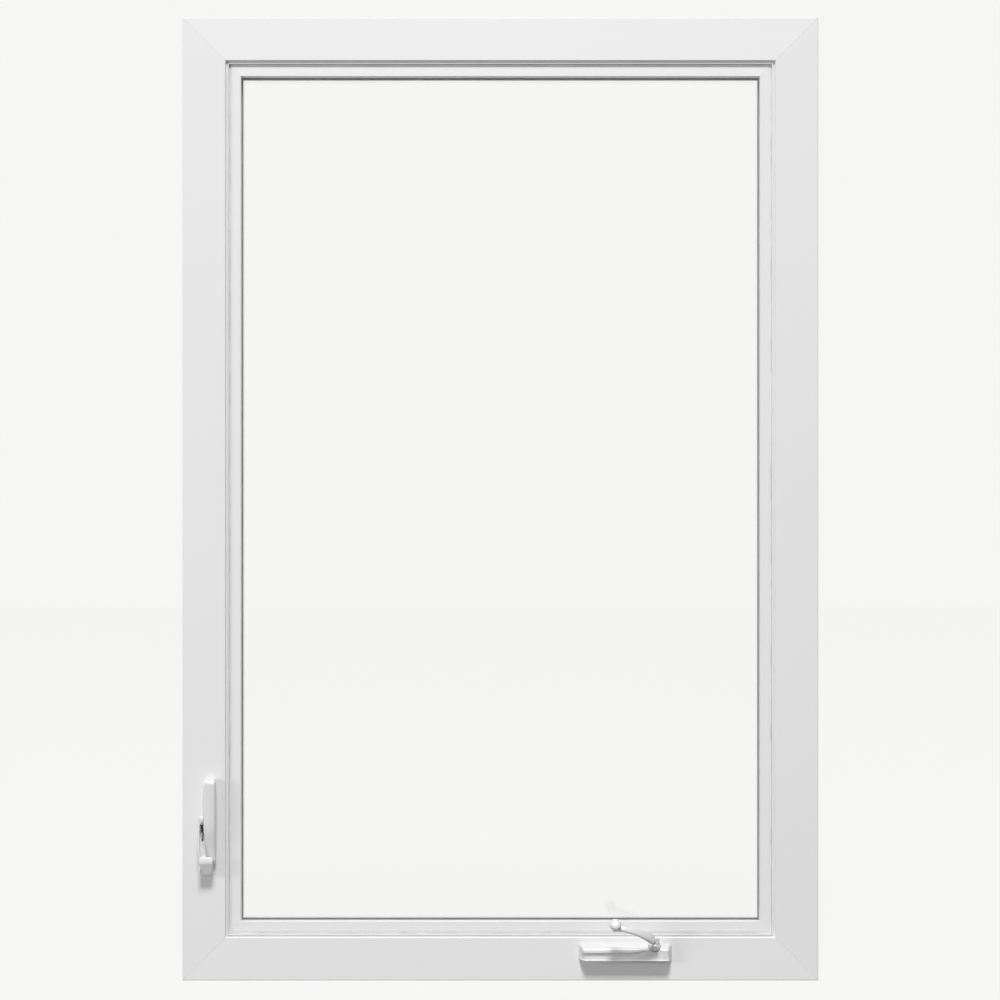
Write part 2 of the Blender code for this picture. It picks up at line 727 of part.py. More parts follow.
def build_operator(cast, steel, nylon, vinyl, frame, arm_point, shoe_point, hinge_point):
    sill = frame["sill"]
    opening_right = SHAFT_X + 18 * MM
    opening_left = OPERATOR_X - GEAR_RADIUS - 8 * MM
    opening_top = REBATE_FLOOR + 23 * MM
    cut(
        sill,
        box(
            at(opening_left, -GAP, REBATE_FLOOR), at(opening_right, LEG_DEPTH + GAP, opening_top)
        ),
    )
    clear_of_leg = LEG_DEPTH + 2 * GAP - OPERATOR_BACK + ARM_WIDTH / 2 * math.cos(ARM_ANGLE)
    arm_slot_left = OPERATOR_X - clear_of_leg / math.tan(ARM_ANGLE) - ARM_WIDTH
    slot_front = OPERATOR_BACK - 4 * MM
    cut(
        sill,
        box(
            at(arm_slot_left, slot_front, GEAR_LOW - 1 * MM),
            at(OPERATOR_X, LEG_DEPTH + GAP, ARM_LOW + ARM_THICK + 1 * MM),
        ),
    )

    plate_low = REBATE_FLOOR + GAP
    plate_top = plate_low + PLATE_THICK
    plate_left = OPERATOR_X - 62 * MM
    plate_right = OPERATOR_X + 45 * MM
    plate_far = LEG_DEPTH + 22 * MM
    outline = [
        (opening_left + GAP, GAP),
        (opening_right - GAP, GAP),
        (opening_right - GAP, LEG_DEPTH + GAP),
        (plate_right, LEG_DEPTH + GAP),
        (plate_right, plate_far),
        (plate_left, plate_far),
        (plate_left, LEG_DEPTH + GAP),
        (opening_left + GAP, LEG_DEPTH + GAP),
    ]
    base = finish(
        "operator_base",
        prism(outline, lambda point, end: at(*point, plate_top if end else plate_low)),
        cast,
        smooth=False,
    )
    bore = WORM_RADIUS + TOOTH_ADDENDUM + 0.4 * MM
    housing_low = -11.5 * MM
    housing_high = 13 * MM
    join(base, on_shaft(housing_low, housing_high, bore + 2.2 * MM, 28))
    cut(base, on_shaft(-7 * MM, housing_high + GAP, bore, 28))
    journal = 3 * MM
    cut(base, on_shaft(-10.9 * MM, -6.5 * MM, journal + RUNNING))
    below = box(
        at(plate_left - 9 * MM, -9 * MM, 0), at(plate_right + 9 * MM, plate_far + 9 * MM, plate_low)
    )
    cut(base, below)
    gear_room = GEAR_RADIUS + TOOTH_ADDENDUM + 0.7 * MM
    cut(
        base,
        level_rod(
            OPERATOR_X,
            OPERATOR_BACK,
            GEAR_LOW - 0.6 * MM,
            GEAR_LOW + GEAR_THICK + 0.6 * MM,
            gear_room,
            False,
            40,
        ),
    )
    cut(base, arm_sweep(0.5 * MM, ARM_LOW - 0.4 * MM, RAIL_EDGE))
    stub = 3 * MM
    cut(base, level_rod(OPERATOR_X, OPERATOR_BACK, 0, plate_top + GAP, stub + RUNNING, False))

    pivot_radius = 4 * MM
    gear_top = GEAR_LOW + GEAR_THICK
    rivet = finish(
        "arm_pivot_rivet",
        level_rod(
            OPERATOR_X, OPERATOR_BACK, plate_top + GAP, gear_top + GAP, pivot_radius, False
        ),
        steel,
    )
    join(
        rivet,
        level_rod(
            OPERATOR_X, OPERATOR_BACK, plate_low + GAP, plate_top + 2 * GAP, stub, False
        ),
    )
    join(
        rivet,
        level_rod(
            OPERATOR_X,
            OPERATOR_BACK,
            gear_top + GAP,
            gear_top + 2 * MM,
            RIVET_HEAD_RADIUS,
            False,
        ),
    )

    join(
        rivet,
        level_rod(
            OPERATOR_X, OPERATOR_BACK, plate_top + GAP, GEAR_LOW - GAP, 9 * MM, False
        ),
    )

    build_drive_arm(steel, nylon, arm_point, shoe_point, pivot_radius)

    shaft_end = HUB_STATION + 4 * MM
    shaft = finish(
        "worm_shaft",
        on_shaft(-6.9 * MM, 8.2 * MM, WORM_RADIUS - TOOTH_DEDENDUM),
        steel,
    )
    join(shaft, worm_thread(-4 * MM, 7 * MM))
    join(shaft, on_shaft(-10.6 * MM, -6.4 * MM, journal))
    upper_journal = 4 * MM
    join(shaft, on_shaft(8 * MM, HUB_STATION - 8 * MM, upper_journal))
    spline = 3.6 * MM
    join(shaft, on_shaft(HUB_STATION - 8.5 * MM, shaft_end, spline, 12))
    finish(
        "worm_bush",
        tube(
            shaft_point(9 * MM), shaft_point(12.7 * MM), upper_journal + RUNNING, bore - RUNNING
        ),
        nylon,
    )

    for word, x in (("left", plate_left + 9 * MM), ("right", plate_right - 6 * MM)):
        screw_down(
            f"operator_screw_{word}", x, plate_far - 8 * MM, plate_top, steel, False, (base, sill)
        )

    build_track(steel, hinge_point)
    build_cover(vinyl)


def build_drive_arm(steel, nylon, arm_point, shoe_point, pivot_radius):
    arm = finish(
        "drive_arm",
        level_rod(
            OPERATOR_X,
            OPERATOR_BACK,
            GEAR_LOW,
            GEAR_LOW + GEAR_THICK,
            GEAR_RADIUS - TOOTH_DEDENDUM - 1 * MM,
            False,
            40,
        ),
        steel,
        arm_point,
    )
    sweep = 2 * SASH_OPENING
    join(arm, toothed_ring(math.radians(-18), sweep + math.radians(16)))
    heading = Vector((-math.cos(ARM_ANGLE), math.sin(ARM_ANGLE)))
    side = Vector((-heading.y, heading.x))
    low = ARM_LOW
    half = ARM_WIDTH / 2
    root = RIVET_HEAD_RADIUS + 1.5 * MM
    outline = [(root, half), (root, -half)] + arc((ARM_LENGTH, 0), half, -90, 90, 10)

    def place(point, end):
        spot = heading * point[0] + side * point[1]
        return at(OPERATOR_X + spot.x, OPERATOR_BACK + spot.y, low + (ARM_THICK if end else 0))

    join(arm, prism(outline, place))
    cut(
        arm,
        level_rod(
            OPERATOR_X,
            OPERATOR_BACK,
            GEAR_LOW - GAP,
            GEAR_LOW + GEAR_THICK + GAP,
            pivot_radius + RUNNING,
            False,
        ),
    )

    stud_x, stud_back = shoe_point
    arm_top = low + ARM_THICK
    stud_radius = 2.5 * MM
    stud = finish(
        "arm_stud",
        level_rod(stud_x, stud_back, arm_top + GAP, arm_top + 7.4 * MM, stud_radius, False),
        steel,
        arm_point,
    )
    join(stud, level_rod(stud_x, stud_back, low - 1.2 * MM, low - GAP, 4 * MM, False))
    join(stud, level_rod(stud_x, stud_back, low - 0.6 * MM, arm_top + 2 * GAP, 2 * MM, False))
    cut(arm, level_rod(stud_x, stud_back, low - GAP, arm_top + GAP, 2 * MM + RUNNING, False))

    shoe_low = RAIL_EDGE - GAP - TRACK_HEIGHT + TRACK_WALL + 0.5 * MM
    shoe = finish(
        "guide_shoe",
        box(
            at(stud_x - SHOE_LENGTH / 2, stud_back - SHOE_WIDTH / 2, shoe_low),
            at(stud_x + SHOE_LENGTH / 2, stud_back + SHOE_WIDTH / 2, shoe_low + SHOE_HEIGHT),
        ),
        nylon,
        at(stud_x, stud_back, shoe_low),
        smooth=False,
    )
    cut(
        shoe,
        level_rod(
            stud_x, stud_back, shoe_low - GAP, shoe_low + SHOE_HEIGHT + GAP, stud_radius + RUNNING,
            False,
        ),
    )


def build_track(steel, hinge_point):
    """The channel under the bottom rail, open below, that the arm's shoe slides in."""
    top = RAIL_EDGE - GAP
    low = top - TRACK_HEIGHT
    half_in = SHOE_WIDTH / 2 + 0.4 * MM
    half_out = half_in + TRACK_WALL
    lip = half_in - 2.4 * MM
    outline = [
        (-half_out, top),
        (-half_out, low),
        (-lip, low),
        (-lip, low + TRACK_WALL),
        (-half_in, low + TRACK_WALL),
        (-half_in, top - TRACK_WALL),
        (half_in, top - TRACK_WALL),
        (half_in, low + TRACK_WALL),
        (lip, low + TRACK_WALL),
        (lip, low),
        (half_out, low),
        (half_out, top),
    ]
    closed_reach = 2 * ARM_LENGTH * math.cos(ARM_ANGLE)
    left = HINGE_X - closed_reach - SHOE_LENGTH
    right = HINGE_X + PLATE_BEYOND_PIVOT - PLATE_LENGTH - 2 * MM

    def place(point, end):
        return at(right if end else left, HINGE_BACK + point[0], point[1])

    finish("sash_track", prism(outline, place), steel, hinge_point, smooth=False)


def cover_outline(inset):
    """The cover's end outline of (back, height), moved in by the inset."""
    low = COVER_LOW + inset
    high = COVER_LOW + COVER_HEIGHT - inset
    front = -COVER_DEPTH + inset
    nose = COVER_LOW + 5 * MM
    shoulder = -9 * MM + inset * 0.4
    points = [(-GAP, low), (front, low), (front, nose)]
    points += [(front + 3.2 * MM, nose + 6 * MM), (shoulder - 3.5 * MM, high - 2.2 * MM)]
    points += [(shoulder, high), (-GAP, high)]
    return points


def build_cover(vinyl):
    left = COVER_RIGHT - COVER_LENGTH

    def place(point, end, wall=0.0):
        proud = -point[0] / COVER_DEPTH
        if end:
            return at(COVER_RIGHT - wall - COVER_RIGHT_SLOPE * proud, *point)
        return at(left + wall + COVER_LEFT_SLOPE * proud, *point)

    cover = finish("operator_cover", prism(cover_outline(0), place), vinyl)
    inner = [(back if back != -GAP else GAP, z) for back, z in cover_outline(COVER_WALL)]
    cut(cover, prism(inner, lambda point, end: place(point, end, COVER_WALL)))
    hub_room = HUB_RADIUS + 0.8 * MM
    cut(cover, on_shaft(8 * MM, HUB_STATION + 12 * MM, hub_room, 28))


# ---------------------------------------------------------------- crank handle


def in_crank(shape):
    frame = shaft_frame(HUB_STATION, CRANK_START)
    bmesh.ops.transform(shape, matrix=frame, verts=shape.verts)
    return shape


def build_crank(vinyl, steel):
    hub_point = shaft_point(HUB_STATION)
    fold_point = shaft_frame(HUB_STATION, CRANK_START) @ Vector((0, 0, FOLD_HEIGHT))
    ear_in = 3.6 * MM
    ear_out = 7.4 * MM
    ear_round = 5.4 * MM
    hub = finish(
        "crank_hub", in_crank(rod((0, 0, -7 * MM), (0, 0, 5 * MM), HUB_RADIUS)), vinyl, hub_point
    )
    for sign in (-1, 1):
        near = sign * ear_in
        far = sign * ear_out
        low_y = min(near, far)
        high_y = max(near, far)
        join(
            hub,
            in_crank(
                box((-ear_round, low_y, 2 * MM), (ear_round, high_y, FOLD_HEIGHT))
            ),
        )
        join(
            hub,
            in_crank(rod((0, low_y, FOLD_HEIGHT), (0, high_y, FOLD_HEIGHT), ear_round)),
        )
    pin_radius = 2 * MM
    pin_hole = rod((0, -9 * MM, FOLD_HEIGHT), (0, 9 * MM, FOLD_HEIGHT), pin_radius + RUNNING)
    cut(hub, in_crank(pin_hole))
    cut(hub, in_crank(rod((0, 0, -8 * MM), (0, 0, 4.4 * MM), 3.6 * MM + RUNNING)))
    screw_hole = rod((0, 0, -2 * MM), (0, 9 * MM, -2 * MM), 1.6 * MM, 12)
    cut(hub, in_crank(screw_hole))
    finish(
        "hub_set_screw",
        in_crank(rod((0, 4.2 * MM, -2 * MM), (0, 8 * MM, -2 * MM), 1.4 * MM, 12)),
        steel,
        hub_point,
    )
    finish(
        "fold_pin",
        in_crank(
            rod((0, -ear_out, FOLD_HEIGHT), (0, ear_out, FOLD_HEIGHT), pin_radius)
        ),
        steel,
        hub_point,
    )

    path = crank_path()
    shape = bmesh.new()
    loops = []
    for i, (reach, rise) in enumerate(path):
        before = Vector(path[max(i - 1, 0)])
        after = Vector(path[min(i + 1, len(path) - 1)])
        run = (after - before).normalized()
        normal = Vector((-run.y, run.x))
        blend = min(1.0, max(0.0, (i - 1) / 3))
        half_width = (3.2 + 1.6 * blend) * MM
        half_thick = (3.4 - 0.5 * i / (len(path) - 1)) * MM
        loop = []
        for turn in range(12):
            angle = 2 * math.pi * turn / 12
            across = half_width * math.cos(angle)
            up = half_thick * math.sin(angle)
            spot = Vector((reach, rise)) + normal * up
            loop.append(shape.verts.new((spot.x, across, spot.y)))
        loops.append(loop)
    for before, after in zip(loops, loops[1:]):
        for j in range(12):
            k = (j + 1) % 12
            shape.faces.new((before[j], before[k], after[k], after[j]))
    shape.faces.new(loops[0][::-1])
    shape.faces.new(loops[-1])
    arm = finish("crank_arm", in_crank(shape), vinyl, fold_point)
    tongue = ear_in - GAP
    join(
        arm,
        in_crank(rod((0, -tongue, FOLD_HEIGHT), (0, tongue, FOLD_HEIGHT), ear_round - GAP)),
    )
    cut(
        arm,
        in_crank(
            rod((0, -9 * MM, FOLD_HEIGHT), (0, 9 * MM, FOLD_HEIGHT), pin_radius + RUNNING)
        ),
    )
    boss_low = CRANK_RISE - 4 * MM
    boss_high = CRANK_RISE + 4 * MM
    join(
        arm,
        in_crank(rod((CRANK_REACH, 0, boss_low), (CRANK_REACH, 0, boss_high), ARM_END_RADIUS)),
    )
    knob_pin_radius = 2.5 * MM
    knob_low = boss_high + GAP
    knob_high = knob_low + KNOB_LENGTH
    cut(
        arm,
        in_crank(
            rod(
                (CRANK_REACH, 0, CRANK_RISE - 3 * MM),
                (CRANK_REACH, 0, boss_high + GAP),
                knob_pin_radius + RUNNING,
            )
        ),
    )
    finish(
        "knob_pin",
        in_crank(
            rod(
                (CRANK_REACH, 0, CRANK_RISE - 2.7 * MM),
                (CRANK_REACH, 0, knob_high - 3 * MM),
                knob_pin_radius,
            )
        ),
        steel,
        fold_point,
    )
    knob_profile = [
        (0, KNOB_LENGTH),
        (0.45 * KNOB_RADIUS, KNOB_LENGTH - 0.3 * MM),
        (0.8 * KNOB_RADIUS, KNOB_LENGTH - 1.6 * MM),
        (0.97 * KNOB_RADIUS, KNOB_LENGTH - 4 * MM),
        (KNOB_RADIUS, KNOB_LENGTH - 6.2 * MM),
        (0.86 * KNOB_RADIUS, 3 * MM),
        (0.72 * KNOB_RADIUS, 0),
        (knob_pin_radius + RUNNING, 0),
        (knob_pin_radius + RUNNING, KNOB_LENGTH - 2.6 * MM),
        (0, KNOB_LENGTH - 2.6 * MM),
    ]
    shape = bmesh.new()
    verts = [shape.verts.new((radius, 0, height)) for radius, height in knob_profile]
    edges = [shape.edges.new(pair) for pair in zip(verts, verts[1:])]
    bmesh.ops.spin(
        shape,
        geom=verts + edges,
        cent=(0, 0, 0),
        axis=(0, 0, 1),
        angle=2 * math.pi,
        steps=24,
        use_merge=True,
    )
    bmesh.ops.remove_doubles(shape, verts=shape.verts, dist=1e-6)
    bmesh.ops.translate(shape, verts=shape.verts, vec=(CRANK_REACH, 0, knob_low))
    knob_point = shaft_frame(HUB_STATION, CRANK_START) @ Vector((CRANK_REACH, 0, knob_low))
    finish("crank_knob", in_crank(shape), vinyl, knob_point)


def crank_path():
    """The arm's centre line of (reach, rise), from its fold pin over to its outer end."""
    start = Vector((0, FOLD_HEIGHT))
    end = Vector((CRANK_REACH, CRANK_RISE))
    first_pull = Vector((0.10 * CRANK_REACH, FOLD_HEIGHT + 0.62 * (CRANK_RISE - FOLD_HEIGHT)))
    second_pull = Vector((0.48 * CRANK_REACH, CRANK_RISE + 3.5 * MM))
    points = []
    steps = 12
    for i in range(steps + 1):
        t = i / steps
        spot = (
            start * (1 - t) ** 3
            + first_pull * 3 * t * (1 - t) ** 2
            + second_pull * 3 * t * t * (1 - t)
            + end * t**3
        )
        points.append(tuple(spot))
    return points


# ---------------------------------------------------------------- lock


def build_lock(vinyl, steel, nylon, frame, hinge_point):
    left = -FRAME_WIDTH / 2 + LOCK_INSET
    right = left + LOCK_WIDTH
    pivot = at(left, -LEVER_PIVOT_PROUD, LEVER_PIVOT_Z)
    low_left = left + 5 * MM
    base_outline = [(right - 2 * MM, LOCK_LOW), (right, LOCK_LOW + 3 * MM)]
    base_outline += [(right, LOCK_HIGH - 5 * MM), (right - 3 * MM, LOCK_HIGH)]
    base_outline += [(left + 4 * MM, LOCK_HIGH), (left, LOCK_HIGH - 6 * MM)]
    base_outline += [(left, LEVER_PIVOT_Z - 8 * MM), (left + 2 * MM, LEVER_PIVOT_Z - 28 * MM)]
    base_outline += [(low_left, LOCK_LOW + 10 * MM), (low_left + 2 * MM, LOCK_LOW)]
    low_proud = 0.58 * LOCK_PROUD

    def face_depth(z):
        if z >= LEVER_PIVOT_Z - 8 * MM:
            return LOCK_PROUD
        share = (z - LOCK_LOW) / (LEVER_PIVOT_Z - 8 * MM - LOCK_LOW)
        return low_proud + (LOCK_PROUD - low_proud) * share

    def place(point, end):
        x, z = point
        return at(x, -face_depth(z) if end else -GAP, z)

    base = finish("lock_base", prism(base_outline, place), vinyl, smooth=False)
    wall = 2.2 * MM
    inner_low = LOCK_LOW + 16 * MM
    inner_high = LOCK_HIGH - 9 * MM
    cut(
        base,
        box(
            at(low_left + wall, -low_proud + wall, inner_low),
            at(right - wall, GAP, LEVER_PIVOT_Z - 12 * MM),
        ),
    )
    cut(
        base,
        box(
            at(left + wall, -LOCK_PROUD + wall, LEVER_PIVOT_Z - 12.5 * MM),
            at(right - wall, GAP, inner_high),
        ),
    )
    pin_radius = 3 * MM
    lever_left = left - GAP - LEVER_PLATE - 1 * MM
    cut(
        base,
        rod(
            at(left - 1 * MM, -LEVER_PIVOT_PROUD, LEVER_PIVOT_Z),
            at(left + wall + 1 * MM, -LEVER_PIVOT_PROUD, LEVER_PIVOT_Z),
            pin_radius + RUNNING,
        ),
    )

    # The lever hangs outside the base, and its grip turns in below it.
    lever_right = left - GAP
    eye = finish(
        "lock_lever",
        rod(
            at(lever_left, -LEVER_PIVOT_PROUD, LEVER_PIVOT_Z),
            at(lever_right, -LEVER_PIVOT_PROUD, LEVER_PIVOT_Z),
            7.5 * MM,
        ),
        vinyl,
        pivot,
    )
    grip_high = LEVER_PIVOT_Z - LEVER_LENGTH + 15 * MM
    grip_low = LEVER_PIVOT_Z - LEVER_LENGTH - 14 * MM
    shank = [
        (-LEVER_PIVOT_PROUD + 5 * MM, LEVER_PIVOT_Z - 4 * MM),
        (-16 * MM, grip_high - 6 * MM),
        (-17 * MM, grip_low + 4 * MM),
        (-26 * MM, grip_low + 4 * MM),
        (-27 * MM, grip_high - 2 * MM),
        (-LEVER_PIVOT_PROUD - 7 * MM, LEVER_PIVOT_Z),
        (-LEVER_PIVOT_PROUD, LEVER_PIVOT_Z + 5 * MM),
    ]

    def shank_place(point, end):
        return at(lever_left + LEVER_PLATE if end else lever_left, *point)

    join(eye, prism(shank, shank_place))
    grip = [
        (-16 * MM, grip_high - 6 * MM),
        (-17 * MM, grip_low + 3 * MM),
        (-20 * MM, grip_low),
        (-27 * MM, grip_low),
        (-30 * MM, grip_low + 3 * MM),
        (-31 * MM, grip_high - 10 * MM),
        (-26 * MM, grip_high),
    ]
    grip_right = right - 2.4 * MM

    def grip_place(point, end):
        return at(grip_right if end else lever_left + 0.5 * MM, *point)

    join(eye, prism(grip, grip_place))
    cut(
        eye,
        rod(
            at(lever_left + 1.2 * MM, -LEVER_PIVOT_PROUD, LEVER_PIVOT_Z),
            at(left + 1 * MM, -LEVER_PIVOT_PROUD, LEVER_PIVOT_Z),
            pin_radius + RUNNING,
        ),
    )
    cam_left = left + wall + 1.5 * MM
    cam = finish(
        "lever_pivot_cam",
        rod(
            at(lever_left + 1.5 * MM, -LEVER_PIVOT_PROUD, LEVER_PIVOT_Z),
            at(cam_left + 4 * MM, -LEVER_PIVOT_PROUD, LEVER_PIVOT_Z),
            pin_radius,
        ),
        steel,
        pivot,
    )
    join(
        cam,
        rod(
            at(cam_left, -LEVER_PIVOT_PROUD, LEVER_PIVOT_Z),
            at(cam_left + 4 * MM, -LEVER_PIVOT_PROUD, LEVER_PIVOT_Z),
            6.2 * MM,
        ),
    )

    jamb = frame["lock"]
    middle = (left + right) / 2 + 1 * MM
    for word, z in (("upper", LOCK_HIGH - 4.5 * MM), ("lower", LOCK_LOW + 8 * MM)):
        proud = face_depth(z)
        seat = -proud + 3 * MM
        screw = finish(
            f"lock_screw_{word}",
            rod(at(middle, seat, z), at(middle, seat - 2 * MM, z), 3 * MM, 16),
            steel,
        )
        join(screw, rod(at(middle, seat - 1 * MM, z), at(middle, 9 * MM, z), 1.7 * MM, 16))
        cut(base, rod(at(middle, GAP, z), at(middle, -proud - 2 * MM, z), 1.7 * MM + RUNNING, 16))
        head_room = rod(
            at(middle, seat + GAP, z), at(middle, -proud - 2 * MM, z), 3 * MM + RUNNING, 16
        )
        cut(base, head_room)
        hole = rod(
            at(middle, -GAP, z), at(middle, FRAME_WALL + 1 * MM, z), 1.7 * MM + RUNNING, 16
        )
        cut(jamb, hole)
    build_tie_bar(steel, nylon, frame, hinge_point)


def build_tie_bar(steel, nylon, frame, hinge_point):
    jamb = frame["lock"]
    floor = -FRAME_WIDTH / 2 + REBATE_FLOOR
    bar_left = floor + 0.6 * MM
    bar_right = bar_left + TIE_BAR_THICK
    near = TIE_BAR_BACK - TIE_BAR_WIDTH / 2
    far = TIE_BAR_BACK + TIE_BAR_WIDTH / 2
    bar_low = RAIL_EDGE + 50 * MM
    bar_high = FRAME_HEIGHT - RAIL_EDGE - 90 * MM
    bar = finish(
        "tie_bar", box(at(bar_left, near, bar_low), at(bar_right, far, bar_high)), steel,
        smooth=False,
    )
    link_z = LEVER_PIVOT_Z - 24 * MM
    link_half = 5 * MM
    join(
        bar,
        box(
            at(bar_left, -3 * MM, link_z - link_half),
            at(bar_left + 2 * MM, near + 1 * MM, link_z + link_half),
        ),
    )
    slot_low = link_z - link_half - 2 * MM
    slot_high = link_z + link_half + TIE_BAR_TRAVEL + 2 * MM
    slot = box(
        at(bar_left - 1 * MM, -GAP, slot_low), at(bar_left + 3 * MM, LEG_DEPTH + GAP, slot_high)
    )
    cut(jamb, slot)
    stile_edge = -FRAME_WIDTH / 2 + STILE_EDGE
    keeper_base = 2 * MM
    points = (("lower", bar_low + 0.22 * (bar_high - bar_low)),)
    points += (("upper", bar_low + 0.88 * (bar_high - bar_low)),)
    for word, z in points:
        roller_right = stile_edge - keeper_base - 0.9 * MM
        roller = finish(
            f"{word}_lock_roller",
            rod(
                at(bar_right + GAP, TIE_BAR_BACK, z), at(roller_right, TIE_BAR_BACK, z),
                LOCK_ROLLER_RADIUS,
            ),
            steel,
        )
        roller_pin = 2.2 * MM
        join(
            roller,
            rod(
                at(bar_left + GAP, TIE_BAR_BACK, z), at(roller_right, TIE_BAR_BACK, z), roller_pin
            ),
        )
        cut(
            bar,
            rod(
                at(bar_left - GAP, TIE_BAR_BACK, z), at(bar_right + GAP, TIE_BAR_BACK, z),
                roller_pin + RUNNING,
            ),
        )
        keeper_low = z + LOCK_ROLLER_RADIUS + 1.5 * MM
        keeper_high = keeper_low + 34 * MM
        rib_far = TIE_BAR_BACK - LOCK_ROLLER_RADIUS - 0.5 * MM
        rib_near = rib_far - 3 * MM
        keeper = finish(
            f"{word}_keeper",
            box(
                at(stile_edge - GAP - keeper_base, rib_near, keeper_low),
                at(stile_edge - GAP, rib_far + 14 * MM, keeper_high),
            ),
            steel,
            hinge_point,
            smooth=False,
        )
        join(
            keeper,
            box(
                at(bar_right + 1.4 * MM, rib_near, keeper_low),
                at(stile_edge - GAP - 1 * MM, rib_far, keeper_high - 4 * MM),
            ),
        )
    guides = (("lower", bar_low + 30 * MM), ("upper", bar_high - 40 * MM))
    for word, z in guides:
        foot = 7 * MM
        outline = [
            (floor + GAP, near - GAP - foot),
            (floor + GAP, near - GAP),
            (bar_right + GAP, near - GAP),
            (bar_right + GAP, far + GAP),
            (floor + GAP, far + GAP),
            (floor + GAP, far + GAP + foot),
            (floor + 2 * MM, far + GAP + foot),
            (bar_right + 2 * MM, far + GAP + 1.6 * MM),
            (bar_right + 2 * MM, near - GAP - 1.6 * MM),
            (floor + 2 * MM, near - GAP - foot),
        ]

        def place(point, end):
            return at(*point, z + 12 * MM if end else z)

        finish(f"{word}_tie_bar_guide", prism(outline, place), nylon, smooth=False)


# ---------------------------------------------------------------- the window


def main():
    for leftover in list(bpy.data.objects):
        bpy.data.objects.remove(leftover)
    material("helper", (0.8, 0.2, 0.2), 0.5)
    vinyl = material("white_vinyl", (0.80, 0.81, 0.81), 0.38)
    hardware_white = material("white_hardware", (0.86, 0.86, 0.85), 0.28)
    rubber = material("dark_seal", (0.06, 0.06, 0.065), 0.6)
    glass = material("clear_glass", (0.95, 0.98, 0.97), 0.02, transmission=1.0)
    spacer_metal = material("spacer_aluminium", (0.62, 0.63, 0.64), 0.4, 1.0)
    steel = material("zinc_plated_steel", (0.62, 0.62, 0.60), 0.35, 1.0)
    cast = material("die_cast_zinc", (0.45, 0.46, 0.47), 0.5, 0.8)
    nylon = material("nylon", (0.75, 0.74, 0.70), 0.5)

    hinge_point = at(HINGE_X, HINGE_BACK, 0)
    arm_point = at(OPERATOR_X, OPERATOR_BACK, GEAR_LOW)
    shoe_point = (
        OPERATOR_X - ARM_LENGTH * math.cos(ARM_ANGLE),
        OPERATOR_BACK + ARM_LENGTH * math.sin(ARM_ANGLE),
    )
    frame = build_frame(vinyl)
    build_sash(vinyl, hinge_point)
    build_glazing(vinyl, rubber, glass, spacer_metal, hinge_point)
    build_weatherstrip(rubber, hinge_point)
    build_hinges(steel, nylon, frame, hinge_point)
    build_operator(
        cast, steel, nylon, hardware_white, frame, arm_point, shoe_point, hinge_point
    )
    build_crank(hardware_white, steel)
    build_lock(hardware_white, steel, nylon, frame, hinge_point)


if __name__ == "__main__":
    main()
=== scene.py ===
"""Finishes, moulded hardware and a studio for a casement window with a crank and a lever lock.

Run in Blender 4.5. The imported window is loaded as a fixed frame, and each operator below finishes
one part of it. World axes: +X towards the hinges, +Y outdoors, +Z up, in metres.
"""

import json
import math

import bmesh
import bpy
from mathutils import Matrix, Vector


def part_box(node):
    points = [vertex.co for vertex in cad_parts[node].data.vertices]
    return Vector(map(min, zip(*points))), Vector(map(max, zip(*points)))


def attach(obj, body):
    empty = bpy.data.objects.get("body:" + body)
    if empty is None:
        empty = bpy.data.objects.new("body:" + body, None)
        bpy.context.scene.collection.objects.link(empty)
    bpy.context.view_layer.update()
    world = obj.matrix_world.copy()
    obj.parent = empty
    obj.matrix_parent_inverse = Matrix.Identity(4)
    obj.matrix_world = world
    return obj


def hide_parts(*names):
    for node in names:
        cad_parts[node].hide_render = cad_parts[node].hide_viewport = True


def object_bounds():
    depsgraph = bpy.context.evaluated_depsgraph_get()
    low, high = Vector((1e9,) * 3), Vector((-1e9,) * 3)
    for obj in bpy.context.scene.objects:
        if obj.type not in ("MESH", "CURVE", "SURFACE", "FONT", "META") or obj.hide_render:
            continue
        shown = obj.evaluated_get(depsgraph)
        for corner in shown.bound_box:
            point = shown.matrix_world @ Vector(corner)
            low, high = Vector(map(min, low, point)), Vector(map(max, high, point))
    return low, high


bl_info = {
    "name": "Casement window finishes",
    "version": (1, 0, 0),
    "blender": (4, 5, 0),
    "location": "3D View > Sidebar > Window",
    "description": "Moulded hardware, welded corners, finishes and a studio for a casement window",
    "category": "Object",
}

MM = 0.001
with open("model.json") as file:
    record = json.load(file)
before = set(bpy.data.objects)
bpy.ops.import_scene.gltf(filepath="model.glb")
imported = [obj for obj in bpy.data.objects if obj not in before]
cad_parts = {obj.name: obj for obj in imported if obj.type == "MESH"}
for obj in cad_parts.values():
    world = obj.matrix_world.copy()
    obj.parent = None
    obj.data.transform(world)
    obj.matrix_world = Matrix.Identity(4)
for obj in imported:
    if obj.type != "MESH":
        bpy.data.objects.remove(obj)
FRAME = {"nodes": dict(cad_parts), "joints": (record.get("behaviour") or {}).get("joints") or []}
CAD_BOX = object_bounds()
COVER_WALL = 2.0 * MM
LOCK_WALL = 2.0 * MM
SAME_POINT = 1e-6
FOLD_PIN_BORE = 2.25 * MM
KNOB_PIN_BORE = 2.75 * MM
SHAFT_BORE = 3.85 * MM

# ---- places read from the frame

COVER_LOW, COVER_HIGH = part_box("operator_cover")
LOCK_LOW, LOCK_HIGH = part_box("lock_base")
LEVER_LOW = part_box("lock_lever")[0]
ROOM_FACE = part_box("frame_lock_jamb")[0].y
WINDOW_MIDDLE = (CAD_BOX[0].z + CAD_BOX[1].z) / 2


def joint(name):
    """The record's joint of this name."""
    return next(item for item in FRAME["joints"] if item["name"] == name)


def at(x, proud, z):
    """A point from its place across, how far it stands out of the room face, and its height."""
    return Vector((x, ROOM_FACE - proud, z))


# ---- sizes and colours


def number(name, description, default, **limits):
    return bpy.props.FloatProperty(name=name, description=description, default=default, **limits)


